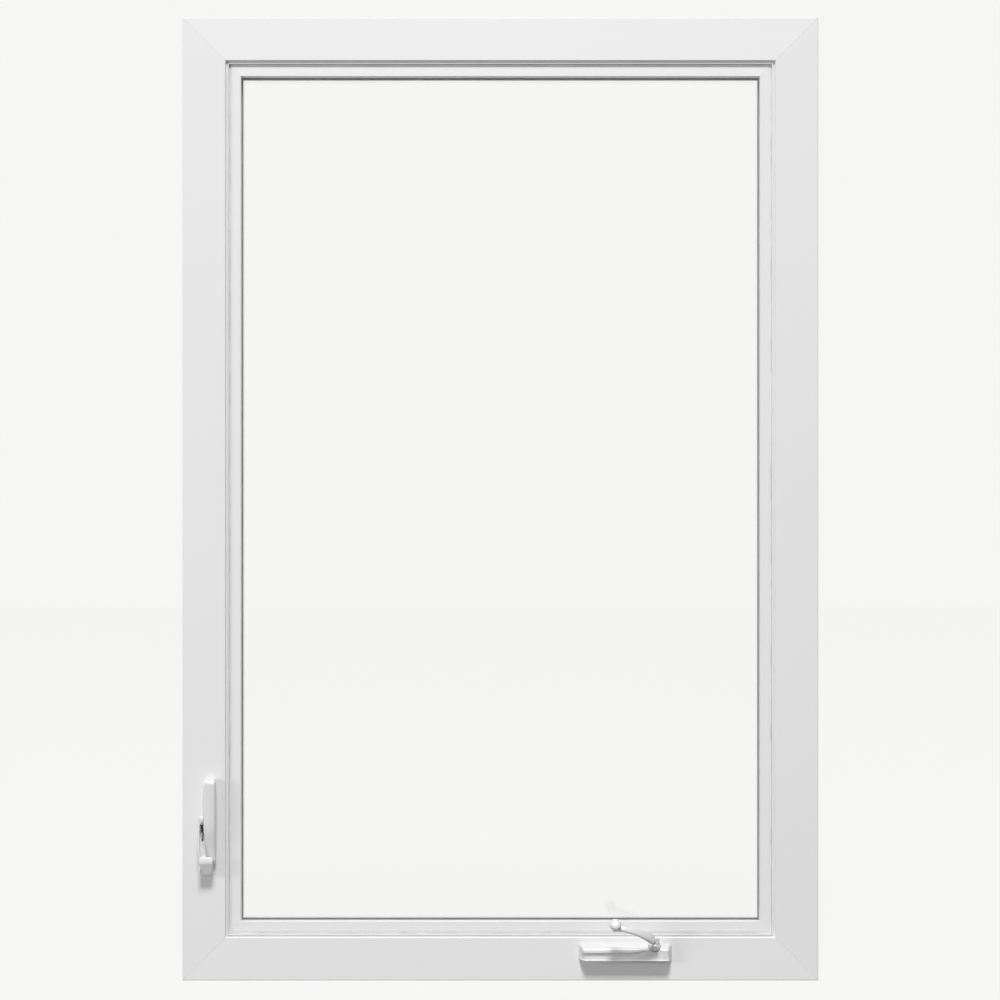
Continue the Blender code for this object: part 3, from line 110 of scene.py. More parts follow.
def size_of(name, description, default, low=0.0, high=0.2):
    limits = {"min": low, "max": high, "precision": 4, "subtype": "DISTANCE", "unit": "LENGTH"}
    return number(name, description, default, **limits)


def share_of(name, description, default, high=1.0):
    return number(name, description, default, min=0.0, max=high, subtype="FACTOR")


def power_of(name, description, default):
    return number(name, description, default, min=0.0, subtype="POWER", unit="POWER")


def angle_of(name, description, degrees):
    turn = math.radians(degrees)
    return number(name, description, turn, subtype="ANGLE", unit="ROTATION")


def colour_of(name, description, default):
    limits = {"size": 3, "min": 0.0, "max": 1.0, "subtype": "COLOR"}
    return bpy.props.FloatVectorProperty(
        name=name, description=description, default=default, **limits
    )


class FinishSettings(bpy.types.PropertyGroup):
    """Colours and gloss of the window's materials."""

    vinyl: colour_of("Vinyl", "Extruded members, sash and glazing beads", (0.80, 0.805, 0.80))
    vinyl_roughness: share_of("Vinyl roughness", "Satin of the extrusions", 0.42)
    moulded: colour_of("Hardware", "Operator cover, crank and lock", (0.72, 0.725, 0.72))
    moulded_roughness: share_of("Hardware roughness", "Gloss of the moulded pieces", 0.3)
    knob: colour_of("Knob", "Plastic of the crank's knob", (0.70, 0.70, 0.695))
    seal: colour_of("Seals", "Gaskets round the glass and the sash", (0.25, 0.255, 0.26))
    bulb: colour_of("Reveal seal", "Soft bulb between sash and frame", (0.74, 0.745, 0.74))
    spacer: colour_of("Spacer", "Bar between the two panes", (0.55, 0.56, 0.57))
    steel: colour_of("Zinc plate", "Hinges, arm, track, screws and lock bar", (0.60, 0.61, 0.60))
    casting: colour_of("Casting", "The operator's base", (0.44, 0.45, 0.46))
    nylon: colour_of("Nylon", "Bushes, shoe and bar guides", (0.72, 0.71, 0.66))
    glass: colour_of("Glass", "Tint of the panes", (0.998, 1.0, 0.999))
    seal_depth: size_of("Seal depth", "From the room face back to the reveal seal", 0.0085)
    weld_depth: size_of("Weld depth", "How far the corner welds lie below the faces", 0.00012)


class CoverSettings(bpy.types.PropertyGroup):
    """Shape of the operator's cover."""

    left_slope: size_of("Left slope", "How far the left end leans in at the front", 0.0085)
    right_slope: size_of("Right slope", "How far the right end leans in at the front", 0.006)
    rim: size_of("Rim", "Height of the bright band along the bottom", 0.0015)
    hump_start: size_of("Hump margin", "From the left end to the raised body", 0.0035)


class CrankSettings(bpy.types.PropertyGroup):
    """Shape of the crank handle."""

    arm_half_width: size_of("Half width", "Half of the arm's width at its outer end", 0.0047)
    arm_half_thick: size_of("Half thickness", "Half of the arm's thickness at its root", 0.0034)
    knob_ridges: bpy.props.IntProperty(
        name="Knob ridges", description="Grip flutes round the knob", default=18, min=6, max=40
    )
    knob_ridge_depth: size_of("Ridge depth", "Depth of the grip flutes", 0.0003)


class LockSettings(bpy.types.PropertyGroup):
    """Shape of the lever lock."""

    edge: size_of("Edge radius", "Rounding of the lock's outer edges", 0.0022)
    lever_edge: size_of("Lever edge", "Rounding of the lever's edges", 0.0011)


class StageSettings(bpy.types.PropertyGroup):
    """Camera, light and floor."""

    camera_distance: size_of("Camera distance", "From the camera to the room face", 4.0, 1, 9)
    view_height: size_of("View height", "Height of the picture at the room face", 1.4187, 1, 3)
    key_power: power_of("Key power", "Soft light from above and in front", 1560.0)
    key_reach: size_of("Key distance", "From the main light to the sill", 14, 2, 20)
    key_width: size_of("Key width", "Width of the main light", 3.3, 0.1, 6)
    key_rise: angle_of("Key height", "Angle of the main light above level", 54)
    side_power: power_of("Side power", "Weak fill from the left", 150.0)
    sheen_power: power_of("Sheen power", "Card whose reflection brightens the head", 14.0)
    ambient: share_of("Ambient", "Strength of the even light all round", 0.31, 3.0)
    floor_share: share_of("Floor share", "Light off the floor beside the even light", 0.8, 3.0)
    background: colour_of("Background", "Tone behind the window", (0.922, 0.922, 0.905))


SETTINGS = {
    "window_finish": FinishSettings,
    "window_cover": CoverSettings,
    "window_crank": CrankSettings,
    "window_lock": LockSettings,
    "window_stage": StageSettings,
}

# ---- materials


def new_material(name):
    """An empty node tree with its output and a Principled shader."""
    made = bpy.data.materials.new(name)
    made.use_nodes = True
    nodes = made.node_tree.nodes
    nodes.clear()
    output = nodes.new("ShaderNodeOutputMaterial")
    shader = nodes.new("ShaderNodeBsdfPrincipled")
    made.node_tree.links.new(shader.outputs["BSDF"], output.inputs["Surface"])
    return made, made.node_tree, shader


def preset(node, values):
    """Sets a node's own sockets from {socket: value}."""
    for socket, value in values.items():
        node.inputs[socket].default_value = value


def pattern(tree, kind, scale, stretch=(1, 1, 1), detail=2.0):
    """A noise or wave on object coordinates, stretched along chosen axes."""
    place = tree.nodes.new("ShaderNodeTexCoord")
    mapping = tree.nodes.new("ShaderNodeMapping")
    mapping.inputs["Scale"].default_value = stretch
    tree.links.new(place.outputs["Object"], mapping.inputs["Vector"])
    texture = tree.nodes.new(kind)
    texture.inputs["Scale"].default_value = scale
    if "Detail" in texture.inputs:
        texture.inputs["Detail"].default_value = detail
    tree.links.new(mapping.outputs["Vector"], texture.inputs["Vector"])
    return texture.outputs[0]


def noise(tree, scale, stretch=(1, 1, 1), detail=2.0):
    """A soft noise on object coordinates."""
    return pattern(tree, "ShaderNodeTexNoise", scale, stretch, detail)


def between(tree, factor, low, high):
    """Maps a 0 to 1 value to a range."""
    node = tree.nodes.new("ShaderNodeMapRange")
    preset(node, {"To Min": low, "To Max": high})
    tree.links.new(factor, node.inputs["Value"])
    return node.outputs["Result"]


def tinted(tree, factor, colour, dark, light):
    """The colour made a little darker or lighter by a pattern."""
    node = tree.nodes.new("ShaderNodeMix")
    node.data_type = "RGBA"
    node.inputs["A"].default_value = (*[part * dark for part in colour], 1)
    node.inputs["B"].default_value = (*[min(1.0, part * light) for part in colour], 1)
    tree.links.new(factor, node.inputs["Factor"])
    return node.outputs["Result"]


def skin_of(tree, shader, tone, colour, shades, gloss, roughness):
    """Ties the colour to one pattern and the roughness to another, each within two bounds."""
    tree.links.new(tinted(tree, tone, colour, *shades), shader.inputs["Base Color"])
    tree.links.new(between(tree, gloss, *roughness), shader.inputs["Roughness"])


def relief(tree, shader, height, distance, strength=1.0, softened=0.0):
    """A bump from the pattern, over edges that are softened by a small radius."""
    bump = tree.nodes.new("ShaderNodeBump")
    preset(bump, {"Strength": strength, "Distance": distance})
    tree.links.new(height, bump.inputs["Height"])
    if softened:
        edge = tree.nodes.new("ShaderNodeBevel")
        edge.samples = 4
        edge.inputs["Radius"].default_value = softened
        tree.links.new(edge.outputs["Normal"], bump.inputs["Normal"])
    tree.links.new(bump.outputs["Normal"], shader.inputs["Normal"])


def added(tree, first, second, weight):
    """first plus weight times second."""
    node = tree.nodes.new("ShaderNodeMath")
    node.operation = "MULTIPLY_ADD"
    node.inputs[1].default_value = weight
    tree.links.new(second, node.inputs[0])
    tree.links.new(first, node.inputs[2])
    return node.outputs["Value"]


def extruded_vinyl(name, colour, roughness, stretch):
    """Satin vinyl with die lines along the member and a slow drift in tone."""
    made, tree, shader = new_material(name)
    drift = noise(tree, 3.0, detail=3)
    lines = noise(tree, 260.0, stretch, detail=2)
    pores = noise(tree, 1400.0, detail=1)
    tone = added(tree, drift, lines, 0.35)
    bounds = (roughness - 0.05, roughness + 0.06)
    skin_of(tree, shader, tone, colour, (0.982, 1.012), lines, bounds)
    height = added(tree, lines, pores, 0.4)
    relief(tree, shader, height, 0.00003, 0.5, softened=0.00045)
    preset(shader, {"IOR": 1.53, "Anisotropic": 0.74})
    across = tree.nodes.new("ShaderNodeCombineXYZ")
    preset(across, {"X": float(stretch[0] == 1), "Z": float(stretch[2] == 1)})
    tree.links.new(across.outputs["Vector"], shader.inputs["Tangent"])
    return made


def moulded_plastic(name, colour, roughness, grain=900.0, drift_scale=22.0):
    """Enamelled or moulded white with a faint orange peel and handling marks."""
    made, tree, shader = new_material(name)
    drift = noise(tree, drift_scale, detail=4)
    peel = noise(tree, grain, detail=2)
    bounds = (roughness - 0.07, roughness + 0.09)
    skin_of(tree, shader, drift, colour, (0.975, 1.015), drift, bounds)
    relief(tree, shader, peel, 0.00004, 0.35, softened=0.0003)
    preset(shader, {"IOR": 1.5, "Coat Weight": 0.35, "Coat Roughness": 0.18})
    return made


def rubber(name, colour):
    """Matt gasket with a fine pebble and a little dust."""
    made, tree, shader = new_material(name)
    dust = noise(tree, 40.0, detail=5)
    pebble = noise(tree, 2200.0, detail=1)
    skin_of(tree, shader, dust, colour, (0.8, 1.6), dust, (0.55, 0.75))
    relief(tree, shader, pebble, 0.00005, 0.5)
    return made


def plated_steel(name, colour, stretch=(1, 1, 1)):
    """Zinc plate: fine brushing along the piece, spangle and duller patches."""
    made, tree, shader = new_material(name)
    spangle = pattern(tree, "ShaderNodeTexVoronoi", 120.0)
    cloud = noise(tree, 35.0, detail=5)
    brushed = noise(tree, 700.0, stretch, detail=3)
    tone = added(tree, cloud, spangle, 0.3)
    skin_of(tree, shader, tone, colour, (0.82, 1.12), cloud, (0.26, 0.46))
    relief(tree, shader, brushed, 0.00003, 0.5, softened=0.00025)
    shader.inputs["Metallic"].default_value = 1.0
    return made


def cast_zinc(name, colour):
    """Die-cast grey with a coarse skin and darker low spots."""
    made, tree, shader = new_material(name)
    skin = noise(tree, 480.0, detail=5)
    stain = noise(tree, 28.0, detail=6)
    skin_of(tree, shader, stain, colour, (0.75, 1.15), stain, (0.42, 0.62))
    relief(tree, shader, skin, 0.00012, 0.6, softened=0.0004)
    shader.inputs["Metallic"].default_value = 0.85
    return made


def natural_nylon(name, colour):
    """Waxy off-white nylon."""
    made, tree, shader = new_material(name)
    cloud = noise(tree, 60.0, detail=3)
    grain = noise(tree, 1300.0, detail=2)
    skin_of(tree, shader, cloud, colour, (0.94, 1.04), cloud, (0.42, 0.56))
    relief(tree, shader, grain, 0.00003, 0.4, softened=0.0003)
    return made


def milled_spacer(name, colour):
    """Bright aluminium bar with rolled lines and rows of small breathing holes."""
    made, tree, shader = new_material(name)
    lines = noise(tree, 300.0, (1, 6, 1), detail=2)
    dots = pattern(tree, "ShaderNodeTexVoronoi", 330.0)
    skin_of(tree, shader, lines, colour, (0.86, 1.1), lines, (0.3, 0.45))
    relief(tree, shader, dots, 0.00005, 0.5)
    shader.inputs["Metallic"].default_value = 1.0
    return made


def clear_glass(name, colour):
    """Thin clear float glass: see-through, with reflections that grow at a slant."""
    made, tree, shader = new_material(name)
    nodes = tree.nodes
    nodes.remove(shader)
    output = next(node for node in nodes if node.type == "OUTPUT_MATERIAL")
    clear = nodes.new("ShaderNodeBsdfTransparent")
    clear.inputs["Color"].default_value = (*colour, 1)
    gloss = nodes.new("ShaderNodeBsdfGlossy")
    preset(gloss, {"Roughness": 0.02, "Color": (1, 1, 1, 1)})
    fresnel = nodes.new("ShaderNodeFresnel")
    fresnel.inputs["IOR"].default_value = 1.5
    ripple = noise(tree, 2.5, detail=1)
    bump = nodes.new("ShaderNodeBump")
    preset(bump, {"Strength": 0.2, "Distance": 0.0002})
    tree.links.new(ripple, bump.inputs["Height"])
    tree.links.new(bump.outputs["Normal"], gloss.inputs["Normal"])
    mix = nodes.new("ShaderNodeMixShader")
    tree.links.new(fresnel.outputs["Fac"], mix.inputs["Fac"])
    tree.links.new(clear.outputs["BSDF"], mix.inputs[1])
    tree.links.new(gloss.outputs["BSDF"], mix.inputs[2])
    tree.links.new(mix.outputs["Shader"], output.inputs["Surface"])
    return made


def finish_of(name, maker, setting, *values):
    """The material of this name in a setting's colour, made when it is first asked for."""
    colour = tuple(getattr(bpy.context.scene.window_finish, setting))
    return bpy.data.materials.get(name) or maker(name, colour, *values)


def vinyl_along(axis):
    """The extrusions' vinyl, with its die lines along X for rails or Z for uprights."""
    roughness = bpy.context.scene.window_finish.vinyl_roughness
    stretch = {"X": (0.01, 1, 1), "Z": (1, 1, 0.01)}[axis]
    name = f"vinyl_lines_{axis.lower()}"
    return finish_of(name, extruded_vinyl, "vinyl", roughness, stretch)


def hardware_white():
    roughness = bpy.context.scene.window_finish.moulded_roughness
    return finish_of("hardware_enamel", moulded_plastic, "moulded", roughness)


def paint(names, finish):
    """Gives the frame's own nodes a finish, in every material slot."""
    for name in names:
        node = FRAME["nodes"][name]
        for place in node.material_slots:
            place.material = finish


# ---- mesh helpers


def turn_to(direction):
    """The rotation that turns +Z to the direction."""
    return Vector(direction).to_track_quat("Z", "Y").to_matrix().to_4x4()


def seated(name, shape, finish, body, slot, stands_for=(), sharp=35):
    """Makes the bmesh a finished piece that rides on a body and stands for the named nodes."""
    bmesh.ops.remove_doubles(shape, verts=shape.verts, dist=SAME_POINT)
    bmesh.ops.recalc_face_normals(shape, faces=shape.faces)
    mesh = bpy.data.meshes.new(name)
    shape.to_mesh(mesh)
    shape.free()
    mesh.materials.append(finish)
    mesh.shade_smooth()
    mesh.set_sharp_from_angle(angle=math.radians(sharp))
    piece = bpy.data.objects.new(name, mesh)
    bpy.context.scene.collection.objects.link(piece)
    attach(piece, body)
    if stands_for:
        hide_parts(*stands_for)
    return piece


def bevel(shape, edges, width):
    """Rounds the edges in three steps."""
    values = {"segments": 3, "profile": 0.5, "clamp_overlap": True, "material": -1}
    bmesh.ops.bevel(shape, geom=edges, offset=width, affect="EDGES", **values)


def round_rod(low, high, radius, sides=32, edge=0.0):
    """A cylinder along Z in its own frame with rounded rims."""
    shape = bmesh.new()
    middle = Matrix.Translation((0, 0, (low + high) / 2))
    sizes = {"radius1": radius, "radius2": radius, "depth": high - low, "matrix": middle}
    bmesh.ops.create_cone(shape, cap_ends=True, segments=sides, **sizes)
    if edge:
        rims = [side for side in shape.edges if side.calc_face_angle(0.0) > 1]
        bevel(shape, rims, edge)
    return shape


def moved(shape, matrix):
    """The bmesh after a move, turn or scaling."""
    bmesh.ops.transform(shape, matrix=matrix, verts=shape.verts)
    return shape


def across_at(shape, height, turn=math.pi / 2):
    """A rod laid along Y at a height in the crank's own frame."""
    level = Matrix.Rotation(turn, 3, "X")
    bmesh.ops.rotate(shape, verts=shape.verts, cent=(0, 0, 0), matrix=level)
    bmesh.ops.translate(shape, verts=shape.verts, vec=(0, 0, height))
    return shape


def block(centre, sizes):
    """A box from its middle and its three sizes."""
    shape = bmesh.new()
    bmesh.ops.create_cube(shape, size=1)
    return moved(shape, Matrix.Translation(centre) @ Matrix.Diagonal((*sizes, 1)))


def millimetres(*points):
    """Points given in millimetres, in metres."""
    return [tuple(part * MM for part in point) for point in points]


def turned(profile, sides=48):
    """Spins an outline of (radius, height) round Z."""
    shape = bmesh.new()
    verts = [shape.verts.new((radius, 0, height)) for radius, height in profile]
    edges = [shape.edges.new(pair) for pair in zip(verts, verts[1:])]
    upright = {"cent": (0, 0, 0), "axis": (0, 0, 1), "angle": 2 * math.pi}
    bmesh.ops.spin(shape, geom=verts + edges, steps=sides, use_merge=True, **upright)
    bmesh.ops.remove_doubles(shape, verts=shape.verts, dist=SAME_POINT)
    return shape


def skinned(sections, capped=True):
    """Bridges a row of closed outlines into one skin, capped unless it closes on itself."""
    shape = bmesh.new()
    rings = []
    for outline in sections:
        verts = [shape.verts.new(point) for point in outline]
        rings.append([shape.edges.new((verts[i - 1], verts[i])) for i in range(len(verts))])
    for before, after in zip(rings, rings[1:]):
        bmesh.ops.bridge_loops(shape, edges=before + after)
    for ring in (rings[0], rings[-1]) if capped else ():
        bmesh.ops.contextual_create(shape, geom=ring)
    return shape


def rounded_outline(corners, radius, steps=5):
    """A closed outline with each corner rounded, from (u, v) corners in order."""
    points = []
    count = len(corners)
    for i, corner in enumerate(corners):
        here = Vector(corner)
        back = Vector(corners[i - 1]) - here
        ahead = Vector(corners[(i + 1) % count]) - here
        reach = min(radius, 0.45 * back.length, 0.45 * ahead.length)
        start = here + back.normalized() * reach
        end = here + ahead.normalized() * reach
        for step in range(steps + 1):
            share = step / steps
            curve = start * (1 - share) ** 2 + here * 2 * share * (1 - share)
            points.append(curve + end * share**2)
    return points


def evaluated(shape, modifiers, name="draft"):
    """Runs modifiers on a bmesh and returns the result. Each is (type, {setting: value})."""
    mesh = bpy.data.meshes.new(name)
    shape.to_mesh(mesh)
    shape.free()
    draft = bpy.data.objects.new(name, mesh)
    bpy.context.scene.collection.objects.link(draft)
    for kind, values in modifiers:
        step = draft.modifiers.new(kind.lower(), kind)
        for key, value in values.items():
            setattr(step, key, value)
    graph = bpy.context.evaluated_depsgraph_get()
    result = bmesh.new()
    result.from_mesh(draft.evaluated_get(graph).to_mesh())
    bpy.data.objects.remove(draft)
    bpy.data.meshes.remove(mesh)
    return result


def boolean(shape, others, operation):
    """The bmesh united with, or cut by, the others, which it frees."""
    tools = []
    for i, other in enumerate(others):
        bmesh.ops.recalc_face_normals(other, faces=other.faces)
        mesh = bpy.data.meshes.new(f"tool_{i}")
        other.to_mesh(mesh)
        other.free()
        tool = bpy.data.objects.new(f"tool_{i}", mesh)
        bpy.context.scene.collection.objects.link(tool)
        tools.append(tool)
    bmesh.ops.recalc_face_normals(shape, faces=shape.faces)
    steps = [
        ("BOOLEAN", {"operation": operation, "solver": "EXACT", "object": tool}) for tool in tools
    ]
    result = evaluated(shape, steps)
    for tool in tools:
        mesh = tool.data
        bpy.data.objects.remove(tool)
        bpy.data.meshes.remove(mesh)
    return result


def cast_soft(shape, voxel, passes):
    """Remeshes a joined shape finely and eases its corners, as a die-cast or moulded piece has."""
    result = evaluated(shape, [("REMESH", {"mode": "VOXEL", "voxel_size": voxel})])
    for _ in range(passes):
        bmesh.ops.smooth_vert(
            result, verts=result.verts, factor=0.5, **{f"use_axis_{axis}": True for axis in "xyz"}
        )
    return result


# ---- members and welds

LEVEL_MEMBERS = ("frame_head", "frame_sill", "sash_top_rail", "sash_bottom_rail")
LEVEL_BEADS = ("glazing_bead_top", "glazing_bead_bottom")
UPRIGHT_MEMBERS = ("frame_hinge_jamb", "frame_lock_jamb", "sash_hinge_stile", "sash_lock_stile")
UPRIGHT_BEADS = ("glazing_bead_hinge_side", "glazing_bead_lock_side")


class WINDOW_OT_paint_members(bpy.types.Operator):
    """Gives the frame, the sash and the glazing beads their extruded vinyl."""

    bl_idname = "window.paint_members"
    bl_label = "Paint members"
    bl_options = {"REGISTER", "UNDO"}

    def execute(self, context):
        paint(LEVEL_MEMBERS + LEVEL_BEADS, vinyl_along("X"))
        paint(UPRIGHT_MEMBERS + UPRIGHT_BEADS, vinyl_along("Z"))
        return {"FINISHED"}


def mitre_faces(node, across, up):
    """A copy of the member's end faces that lie on one corner's 45 degree plane."""
    shape = bmesh.new()
    shape.from_mesh(FRAME["nodes"][node].data)
    bmesh.ops.remove_doubles(shape, verts=shape.verts, dist=SAME_POINT)
    facing = Vector((across, 0, -up)).normalized()
    others = [
        face
        for face in shape.faces
        if face.normal.dot(facing) < 0.999 or face.calc_center_median().x * across < 0
    ]
    bmesh.ops.delete(shape, geom=others, context="FACES")
    flat = {"angle_limit": math.radians(1), "verts": shape.verts, "edges": shape.edges}
    bmesh.ops.dissolve_limit(shape, **flat)
    return shape, facing


class WINDOW_OT_weld_corners(bpy.types.Operator):
    """Fills each mitre with its weld, a hair below the faces."""

    bl_idname = "window.weld_corners"
    bl_label = "Weld corners"
    bl_options = {"REGISTER", "UNDO"}

    def execute(self, context):
        depth = context.scene.window_finish.weld_depth
        open_end = CAD_BOX[1].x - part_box("frame_head")[1].x
        gap = math.sqrt(2) * open_end
        rails = (("frame", "frame_head", 1), ("frame", "frame_sill", -1))
        rails += (("sash", "sash_top_rail", 1), ("sash", "sash_bottom_rail", -1))
        for body, node, up in rails:
            for side, across in (("left", -1), ("right", 1)):
                shape, facing = mitre_faces(node, across, up)
                if not shape.faces:
                    raise RuntimeError(f"{node} has no mitred end on its {side} side")
                inset = {"thickness": depth, "use_even_offset": True}
                rim = bmesh.ops.inset_region(shape, faces=shape.faces[:], **inset)
                bmesh.ops.delete(shape, geom=rim["faces"], context="FACES")
                plane = shape.verts[:][0].co.dot(facing)
                bmesh.ops.solidify(shape, geom=shape.faces[:], thickness=gap)
                reaches = [vert.co.dot(facing) for vert in shape.verts]
                shift = plane + gap / 2 - (max(reaches) + min(reaches)) / 2
                bmesh.ops.translate(shape, verts=shape.verts[:], vec=facing * shift)
                name = f"{body}_weld_{'top' if up > 0 else 'bottom'}_{side}"
                seated(name, shape, vinyl_along("X"), body, "vinyl")
        return {"FINISHED"}


# ---- glazing and seals


class WINDOW_OT_paint_glazing(bpy.types.Operator):
    """Gives the panes, spacer, gaskets and setting blocks their finishes."""

    bl_idname = "window.paint_glazing"
    bl_label = "Paint glazing"
    bl_options = {"REGISTER", "UNDO"}

    def execute(self, context):
        paint(("inner_pane", "outer_pane"), finish_of("float_glass", clear_glass, "glass"))
        seals = ("glazing_seal", "sash_weatherstrip", "setting_block_left", "setting_block_right")
        paint(seals, finish_of("gasket_rubber", rubber, "seal"))
        paint(("pane_spacer",), finish_of("spacer_bar", milled_spacer, "spacer"))
        return {"FINISHED"}


def reveal_edges(rail, stile):
    """How far left and low the sash reaches at its room face."""
    lows = []
    for node, axis in ((stile, 0), (rail, 2)):
        mesh = FRAME["nodes"][node].data
        front = min(vert.co.y for vert in mesh.vertices)
        lows.append(min(v.co[axis] for v in mesh.vertices if v.co.y < front + 0.5 * MM))
    return lows


class WINDOW_OT_build_reveal_seal(bpy.types.Operator):
    """Fits a soft white bulb seal in the reveal between the frame's lip and the sash's face."""

    bl_idname = "window.build_reveal_seal"
    bl_label = "Build reveal seal"
    bl_options = {"REGISTER", "UNDO"}

    def execute(self, context):
        look = context.scene.window_finish
        sill_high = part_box("frame_sill")[1].z
        rail = (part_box("frame_head")[0].z, sill_high)
        stile = (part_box("frame_lock_jamb")[1].x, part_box("frame_hinge_jamb")[0].x)
        sash_low = reveal_edges("sash_bottom_rail", "sash_lock_stile")
        gap = sash_low[1] - sill_high
        clear = 0.12 * MM
        bulge = 0.8 * MM
        back_face = look.seal_depth + 3 * MM
        section = []
        steps = 12
        for i in range(steps + 1):
            turn = math.pi * i / steps
            inset = gap / 2 - (gap / 2 - clear) * math.cos(turn)
            section.append((inset, look.seal_depth - bulge * math.sin(turn)))
        section += [(gap - clear, back_face), (clear, back_face)]
        loops = []
        for across, up in ((0, 0), (1, 0), (1, 1), (0, 1)):
            loop = []
            for inset, back in section:
                x = stile[1] - inset if across else stile[0] + inset
                z = rail[0] - inset if up else rail[1] + inset
                loop.append(at(x, -back, z))
            loops.append(loop)
        shape = skinned(loops + loops[:1], capped=False)
        soft_white = finish_of("bulb_seal", rubber, "bulb")
        seated("reveal_bulb_seal", shape, soft_white, "frame", "seal")
        return {"FINISHED"}


# ---- operator cover


def eased(value):
    """A smooth 0 to 1 step."""
    value = min(1.0, max(0.0, value))
    return value * value * (3 - 2 * value)


def cover_half_section(x, wall, look):
    """The cover's end-on outline at x: (proud, z) points from its foot up and over its top."""
    left = COVER_LOW.x
    right = COVER_HIGH.x
    low = COVER_LOW.z + wall
    high = COVER_HIGH.z - wall
    foot = ROOM_FACE - COVER_HIGH.y - 2 * wall
    depth = COVER_HIGH.y - COVER_LOW.y - wall + (ROOM_FACE - COVER_HIGH.y)
    if wall:
        lower = millimetres((3.0, 0.0), (3.8, 1.5))
        upper = millimetres((4.4, 6.5), (6.4, 3.4), (10.5, 1.0), (15.0, 2.0))
        outline = [(foot, low), *((depth - back, low + up) for back, up in lower)]
        outline += [(depth - back, high - down) for back, down in upper]
        outline.append((foot, high - 3.2 * MM))
    else:
        hub_x = joint("crank_turn")["pos_m"][0]
        hump = eased((x - left - look.hump_start) / (2 * MM)) * (
            1 - eased((x - hub_x + 30 * MM) / (26 * MM))
        )
        lip = low + 11.4 * MM + 2.9 * MM * eased((x - hub_x + 38 * MM) / (30 * MM))
        end_block = eased((x - right + 15 * MM) / (1.2 * MM)) * 0.9 * MM
        set_in = (2.2 + 1.6 * hump) * MM - end_block
        face = depth - set_in
        rim = low + look.rim
        upper = millimetres((7.2, 0.9), (10.0, 0.1), (12.5, 0.2), (15.5, 1.0))
        outline = [
            (foot, low),
            (depth - 1.4 * MM, low),
            (depth - 0.5 * MM, low + 0.35 * MM),
            (depth - 0.1 * MM, low + 1.0 * MM),
            (depth - 0.1 * MM, rim),
            (depth - 0.6 * MM, rim + 0.4 * MM),
            (face, rim + 1.1 * MM),
            (face - 0.4 * MM, lip - 1.5 * MM),
            (face - 0.2 * MM, lip - 0.4 * MM),
            (face + 1.9 * MM * hump, lip + 0.25 * MM),
            (face + 3.1 * MM * hump, lip + 0.9 * MM),
            (depth - 2.2 * MM + 1.6 * MM * hump, lip + 2.0 * MM),
            (depth - 2.9 * MM + 1.6 * MM * hump, high - 4.6 * MM),
            (depth - 4.4 * MM + 0.8 * MM * hump, high - 2.6 * MM),
            *((depth - back, high - down) for back, down in upper),
            (foot, high - 2.6 * MM),
        ]
    middle = (low + high) / 2
    inset = max(0.0, min(x - left - wall, right - wall - x))
    squeeze = 0.86 + 0.14 * math.sqrt(min(1.0, inset / (4 * MM)))
    placed = []
    for proud, z in outline:
        drop = (high - z) / (high - low)
        lean = look.left_slope * (0.55 + 0.6 * drop)
        from_left = (x - left - wall) / lean
        from_right = (right - wall - x) / look.right_slope
        share = max(0.0, min(1.0, from_left, from_right))
        share = 1 - (1 - share) ** 1.5
        placed.append((foot + (proud - foot) * max(0.02, share), middle + (z - middle) * squeeze))
    return placed


def cover_skin(wall, look):
    """The cover's solid, moved in by the wall on every side but the back."""
    left = COVER_LOW.x + wall
    right = COVER_HIGH.x - wall
    ends = (0.0, 0.25, 0.7, 1.3, 2.0, 2.8, 3.6, 4.4, 5.4, 6.4, 7.5, 8.7, 10, 12)
    places = [left + step * MM for step in ends]
    count = 36
    first = places[-1]
    last = right - 16 * MM
    places += [first + (last - first) * i / count for i in range(1, count + 1)]
    tail = (15, 14.4, 13.8, 13.2, 11, 9, 7.5, 6.4, 5.4, 4.4, 3.4, 2.6, 1.9, 1.3, 0.7, 0.25, 0)
    places += [right - step * MM for step in tail]
    sections = []
    for x in places:
        outline = cover_half_section(x, wall, look)
        sections.append([at(x, proud, z) for proud, z in outline])
    return skinned(sections)


def crank_frame():
    """The crank's own frame from its joint: z up its shaft, x from the shaft to the knob."""
    turn = joint("crank_turn")
    fold = joint("handle_fold")
    z_axis = Vector(turn["axis"]).normalized()
    y_axis = -Vector(fold["axis"]).normalized()
    x_axis = y_axis.cross(z_axis)
    turned_matrix = Matrix((x_axis, y_axis, z_axis)).transposed().to_4x4()
    return Matrix.Translation(Vector(turn["pos_m"])) @ turned_matrix


class WINDOW_OT_build_cover(bpy.types.Operator):
    """Moulds the operator's cover: raised body, set-in front, rim, collar and hollow inside."""

    bl_idname = "window.build_cover"
    bl_label = "Build cover"
    bl_options = {"REGISTER", "UNDO"}

    def execute(self, context):
        look = context.scene.window_cover
        hub = crank_frame()
        outer = cover_skin(0.0, look)
        rim = ((9, -18), (11.6, -18), (11.6, -7.2), (11, -6.2), (10, -5.9), (9, -6.4), (9, -18))
        collar = moved(turned(millimetres(*rim)), hub)
        outer = boolean(outer, [collar], "UNION")
        inner = cover_skin(COVER_WALL, look)
        bore = moved(round_rod(-40 * MM, 20 * MM, 9.0 * MM, sides=48), hub)
        span = COVER_HIGH.x - COVER_LOW.x + 40 * MM
        spot = Vector(((COVER_LOW.x + COVER_HIGH.x) / 2, COVER_HIGH.y + 10 * MM, COVER_LOW.z))
        behind = block(spot, (span, 20 * MM, 120 * MM))
        shell = boolean(outer, [inner, bore, behind], "DIFFERENCE")
        shown = ("cover_shell", shell, hardware_white(), "frame", "cover")
        seated(*shown, stands_for=("operator_cover",), sharp=40)
        return {"FINISHED"}


# ---- crank handle


